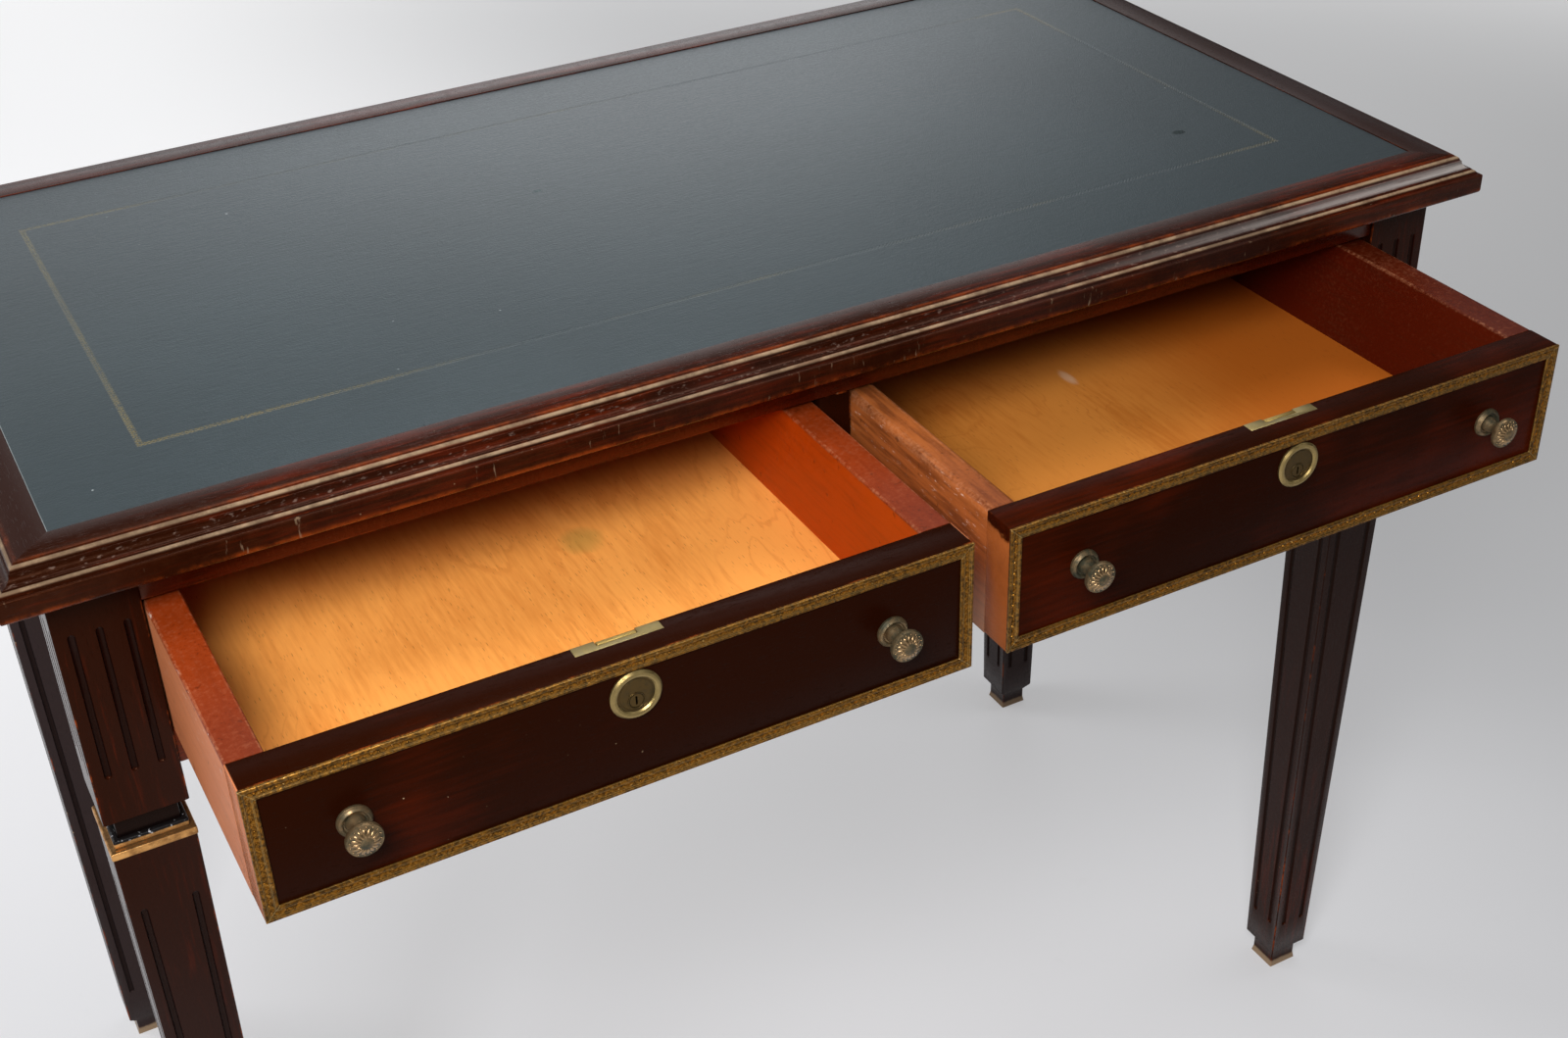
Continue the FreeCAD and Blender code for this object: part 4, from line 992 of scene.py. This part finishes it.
class DESK_OT_turn_knobs(bpy.types.Operator):
    """Turns the knobs with their petalled faces, and the roses under them"""

    bl_idname = "desk.turn_knobs"
    bl_label = "Turn Knobs"

    def execute(self, context):
        metal = settings_of(context).metal
        cast = aged_metal(
            "knob_metal", metal.knob, dull=metal.verdigris, brightness=0.05, roughness=0.36, grain=260,
            pits=0.5)
        for side in SIDES:
            self.petal_knobs(f"{side}_drawer_knobs", [f"{side}_drawer_front"], -1, metal, cast)
            dress_node(f"{side}_drawer_knob_roses", cast)
        self.petal_knobs("false_front_knobs", ["false_front_left", "false_front_right"], 1, metal, cast)
        dress_node("false_front_roses", cast)
        return {"FINISHED"}

    def petal_knobs(self, node, boards, outward, metal, cast):
        """Gives both knobs of each board a petalled face."""
        mesh = mesh_of(node)
        proud = mesh.faces.layers.float.new("proud")
        low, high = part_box(node)
        radius = (high.z - low.z) / 2
        tip = low.y if outward < 0 else high.y
        from_middle = min(abs(low.x + radius - self.middle(board)) for board in boards)
        for board in boards:
            board_low, board_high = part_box(board)
            reach = abs(tip - (board_low.y if outward < 0 else board_high.y))
            for hand in (-1, 1):
                centre = Vector((self.middle(board) + hand * from_middle, tip, (low.z + high.z) / 2))
                self.petal_face(mesh, proud, centre, outward, radius, reach, metal.petals)
        set_piece("petalled_" + node, mesh, cast, BODY_OF[node], [node], smooth=50)

    def middle(self, board):
        low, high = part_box(board)
        return (low.x + high.x) / 2

    def petal_face(self, mesh, proud, centre, outward, radius, reach, petals):
        """Petals that lie on a knob's sloping face, a ring of pips outside them and a boss in the middle."""
        stand = Matrix.Translation(centre) @ Matrix.Rotation(math.radians(-90 * outward), 4, "X")
        slope = Matrix.Rotation(math.atan2(FACE_FALL * reach, PETAL_OUT * radius), 4, "Y")
        half_width = math.pi * PETAL_RING * radius / petals * PETAL_FILL
        petal = Matrix.Translation((PETAL_OUT * radius, 0, -PETAL_SINK * reach)) @ slope @ Matrix.Diagonal(
            (PETAL_LENGTH * radius, half_width, PETAL_RISE * radius, 1))
        pip = Matrix.Translation((PIP_OUT * radius, 0, -PIP_SINK * reach)) @ Matrix.Diagonal(
            (*(size * radius for size in PIP_SIZE), 1))
        boss = Matrix.Translation((0, 0, -BOSS_SINK * reach)) @ Matrix.Diagonal(
            (BOSS_RADIUS * radius, BOSS_RADIUS * radius, BOSS_RISE * reach, 1))
        for i in range(petals):
            spoke = stand @ Matrix.Rotation(2 * math.pi * i / petals, 4, "Z")
            add_bead(mesh, proud, spoke @ petal, 2)
            add_bead(mesh, proud, spoke @ Matrix.Rotation(math.pi / petals, 4, "Z") @ pip, 1)
        add_bead(mesh, proud, stand @ boss, 2)


class DESK_OT_fit_locks(bpy.types.Operator):
    """Fits the lock rings, faces, plates, plugs and bolts"""

    bl_idname = "desk.fit_locks"
    bl_label = "Fit Locks"

    def execute(self, context):
        metal = settings_of(context).metal
        face_film = paint("2f2812")
        finishes = {
            "lock_ring": aged_metal(
                "lock_ring_brass", metal.ring, dull=paint("6b5a2c"), brightness=0.6, roughness=0.38,
                grain=240, pits=0.2),
            "lock_cylinder": aged_metal(
                "lock_face_brass", metal.disc, dull=face_film, brightness=0.5, roughness=0.36, grain=280,
                pits=0.4),
            "key_plug": aged_metal(
                "key_plug_brass", metal.disc, dull=face_film, brightness=0.7, roughness=0.36, grain=300,
                pits=0.3),
            "lock_case": aged_metal(
                "lock_plate_nickel", metal.plate, dull=paint("7d765f"), brightness=0.6, roughness=0.4,
                grain=180, pits=0.2),
            "lock_bolt": aged_metal(
                "lock_bolt_brass", paint("b59a58"), dull=paint("6e5a2a"), brightness=0.6, roughness=0.36,
                grain=200, pits=0.2),
        }
        for side in SIDES:
            prefix = f"{side}_drawer_"
            for node in ("lock_ring", "lock_cylinder", "key_plug"):
                dress_node(prefix + node, finishes[node])
            eased_piece(
                prefix + "lock_case", finishes["lock_case"], EASED_WIDTH["lock case"],
                chosen=longer_than(0.004))
            eased_piece(prefix + "lock_bolt", finishes["lock_bolt"], EASED_WIDTH["lock bolt"])
            self.line_face(prefix, finishes["lock_cylinder"])
        return {"FINISHED"}

    def line_face(self, prefix, brass):
        """A collar round the plug and a fine line round the lock's face."""
        face_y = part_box(prefix + "lock_cylinder")[0].y
        ring_low, ring_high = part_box(prefix + "lock_ring")
        plug_low, plug_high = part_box(prefix + "key_plug")
        face = Vector(((ring_low.x + ring_high.x) / 2, face_y, (ring_low.z + ring_high.z) / 2))
        plug = Vector((face.x, face_y, (plug_low.z + plug_high.z) / 2))
        mesh = bmesh.new()
        for centre, (radius, wire) in ((plug, PLUG_COLLAR), (face, FACE_LINE)):
            start = Matrix.Translation(centre + Vector((radius, 0, 0)))
            loop = bmesh.ops.create_circle(mesh, segments=8, radius=wire, matrix=start)["verts"]
            edges = {edge for vert in loop for edge in vert.link_edges}
            bmesh.ops.spin(
                mesh, geom=loop + list(edges), cent=centre, axis=(0, 1, 0), angle=2 * math.pi, steps=48,
                use_merge=True)
        bmesh.ops.remove_doubles(mesh, verts=mesh.verts, dist=MERGE_DISTANCE)
        bmesh.ops.recalc_face_normals(mesh, faces=mesh.faces)
        body = BODY_OF[prefix + "lock_cylinder"]
        set_piece(prefix + "lock_lines", mesh, brass, body, smooth=60)


class DESK_OT_set_stage(bpy.types.Operator):
    """Sets the floor, the lights and the camera"""

    bl_idname = "desk.set_stage"
    bl_label = "Set Stage"

    def execute(self, context):
        stage = settings_of(context).stage
        self.lay_floor(context, stage)
        self.hang_lights(context, stage)
        self.light_surround(context, stage)
        self.set_camera(context, stage)
        context.scene.view_settings.view_transform = "Standard"
        return {"FINISHED"}

    def lay_floor(self, context, stage):
        mesh = bmesh.new()
        bmesh.ops.create_grid(mesh, x_segments=1, y_segments=1, size=14)
        data = bpy.data.meshes.new("studio_floor")
        mesh.to_mesh(data)
        mesh.free()
        data.materials.append(studio_floor(stage))
        floor = bpy.data.objects.new("studio_floor", data)
        context.scene.collection.objects.link(floor)

    def hang_lights(self, context, stage):
        for name, power, wide, deep, place, aim in (
            ("key_light", stage.key_power, 0.7, 0.7, (-0.9, -1.25, 1.85), (-0.2, -0.15, 0.65)),
            ("strip_light", stage.top_power, 1.9, 0.5, (0.5, 0.2, 2.7), (0.3, -0.1, 0.75)),
            ("back_light", stage.back_power, 1.4, 1.4, (-2.4, 2.3, 2.6), (-1.2, 1.6, 0.0)),
        ):
            light = bpy.data.lights.new(name, "AREA")
            light.shape = "RECTANGLE"
            light.energy = power
            light.size = wide
            light.size_y = deep
            lamp = bpy.data.objects.new(name, light)
            lamp.location = place
            lamp.rotation_euler = (Vector(aim) - Vector(place)).to_track_quat("-Z", "Y").to_euler()
            context.scene.collection.objects.link(lamp)

    def light_surround(self, context, stage):
        """A dim fill from all round, and a pale backdrop that only the camera and reflections see."""
        world = bpy.data.worlds.new("studio")
        surround = Finish(world, "Generated")
        x, y, z = (surround.axis(letter) for letter in "xyz")
        far = surround.rise(y, 0.0, 0.5)
        low_down = 1 - surround.rise(z, 0.52, 0.68) * 0.8
        middle = 0.9 + surround.rise(x, -0.02, 0.34) * 1.1
        back = far * low_down * (middle - surround.rise(x, 0.45, 0.68) * 1.75)
        window = surround.rise(x, 0.3, 0.66) * surround.rise(z, 0.35, 0.6)
        back = back + window * (1 - surround.rise(y, -0.3, 0.0)) * 1.5
        seen = surround.add("ShaderNodeLightPath", output="Is Camera Ray")
        mirrored = surround.add("ShaderNodeLightPath", output="Is Glossy Ray")
        fill = surround.add("ShaderNodeBackground", None, {
            "Color": (0.95, 0.97, 1.0, 1), "Strength": stage.world_level})
        pale = surround.add("ShaderNodeBackground", None, {
            "Color": (0.74, 0.75, 0.77, 1), "Strength": seen.higher(mirrored * back)})
        surround.end("ShaderNodeOutputWorld", surround.add("ShaderNodeMixShader", None, {
            0: seen.higher(mirrored), 1: fill, 2: pale}))
        context.scene.world = world

    def set_camera(self, context, stage):
        data = bpy.data.cameras.new("photo_camera")
        data.sensor_width = 36
        data.sensor_fit = "HORIZONTAL"
        data.lens = stage.lens
        camera = bpy.data.objects.new("photo_camera", data)
        camera.location = stage.camera_place
        camera.rotation_euler = Euler(stage.camera_turn, "XYZ")
        context.scene.collection.objects.link(camera)
        context.scene.camera = camera


OPERATORS = (
    DESK_OT_lay_leather, DESK_OT_fit_top_border, DESK_OT_stand_legs, DESK_OT_frame_frieze,
    DESK_OT_finish_carcass, DESK_OT_join_drawers, DESK_OT_pin_brass_frames, DESK_OT_turn_knobs,
    DESK_OT_fit_locks, DESK_OT_set_stage,
)


class DESK_PT_maker(bpy.types.Panel):
    """Lists the steps that dress the desk and what can be set for them"""

    bl_idname = "DESK_PT_maker"
    bl_label = "Partners Desk"
    bl_space_type = "VIEW_3D"
    bl_region_type = "UI"
    bl_category = "Desk"

    def draw(self, context):
        settings = settings_of(context)
        for group in ("timber", "leather", "drawer", "metal", "stage"):
            box = self.layout.box()
            box.label(text=group.title())
            held = getattr(settings, group)
            for name in held.bl_rna.properties.keys():
                if name not in ("rna_type", "name"):
                    box.prop(held, name)
        for operator in OPERATORS:
            self.layout.operator(operator.bl_idname)


CLASSES = (
    DarkTimberProperties, LeatherProperties, DrawerTimberProperties, MetalProperties, StageProperties,
    PartnersDeskProperties, *OPERATORS, DESK_PT_maker,
)


def register():
    for cls in CLASSES:
        bpy.utils.register_class(cls)
    bpy.types.Scene.partners_desk = bpy.props.PointerProperty(type=PartnersDeskProperties)


def unregister():
    del bpy.types.Scene.partners_desk
    for cls in reversed(CLASSES):
        bpy.utils.unregister_class(cls)


def main():
    register()
    bpy.ops.desk.lay_leather()
    bpy.ops.desk.fit_top_border()
    bpy.ops.desk.stand_legs()
    bpy.ops.desk.frame_frieze()
    bpy.ops.desk.finish_carcass()
    bpy.ops.desk.join_drawers()
    bpy.ops.desk.pin_brass_frames()
    bpy.ops.desk.turn_knobs()
    bpy.ops.desk.fit_locks()
    bpy.ops.desk.set_stage()


if __name__ == "__main__":
    main()
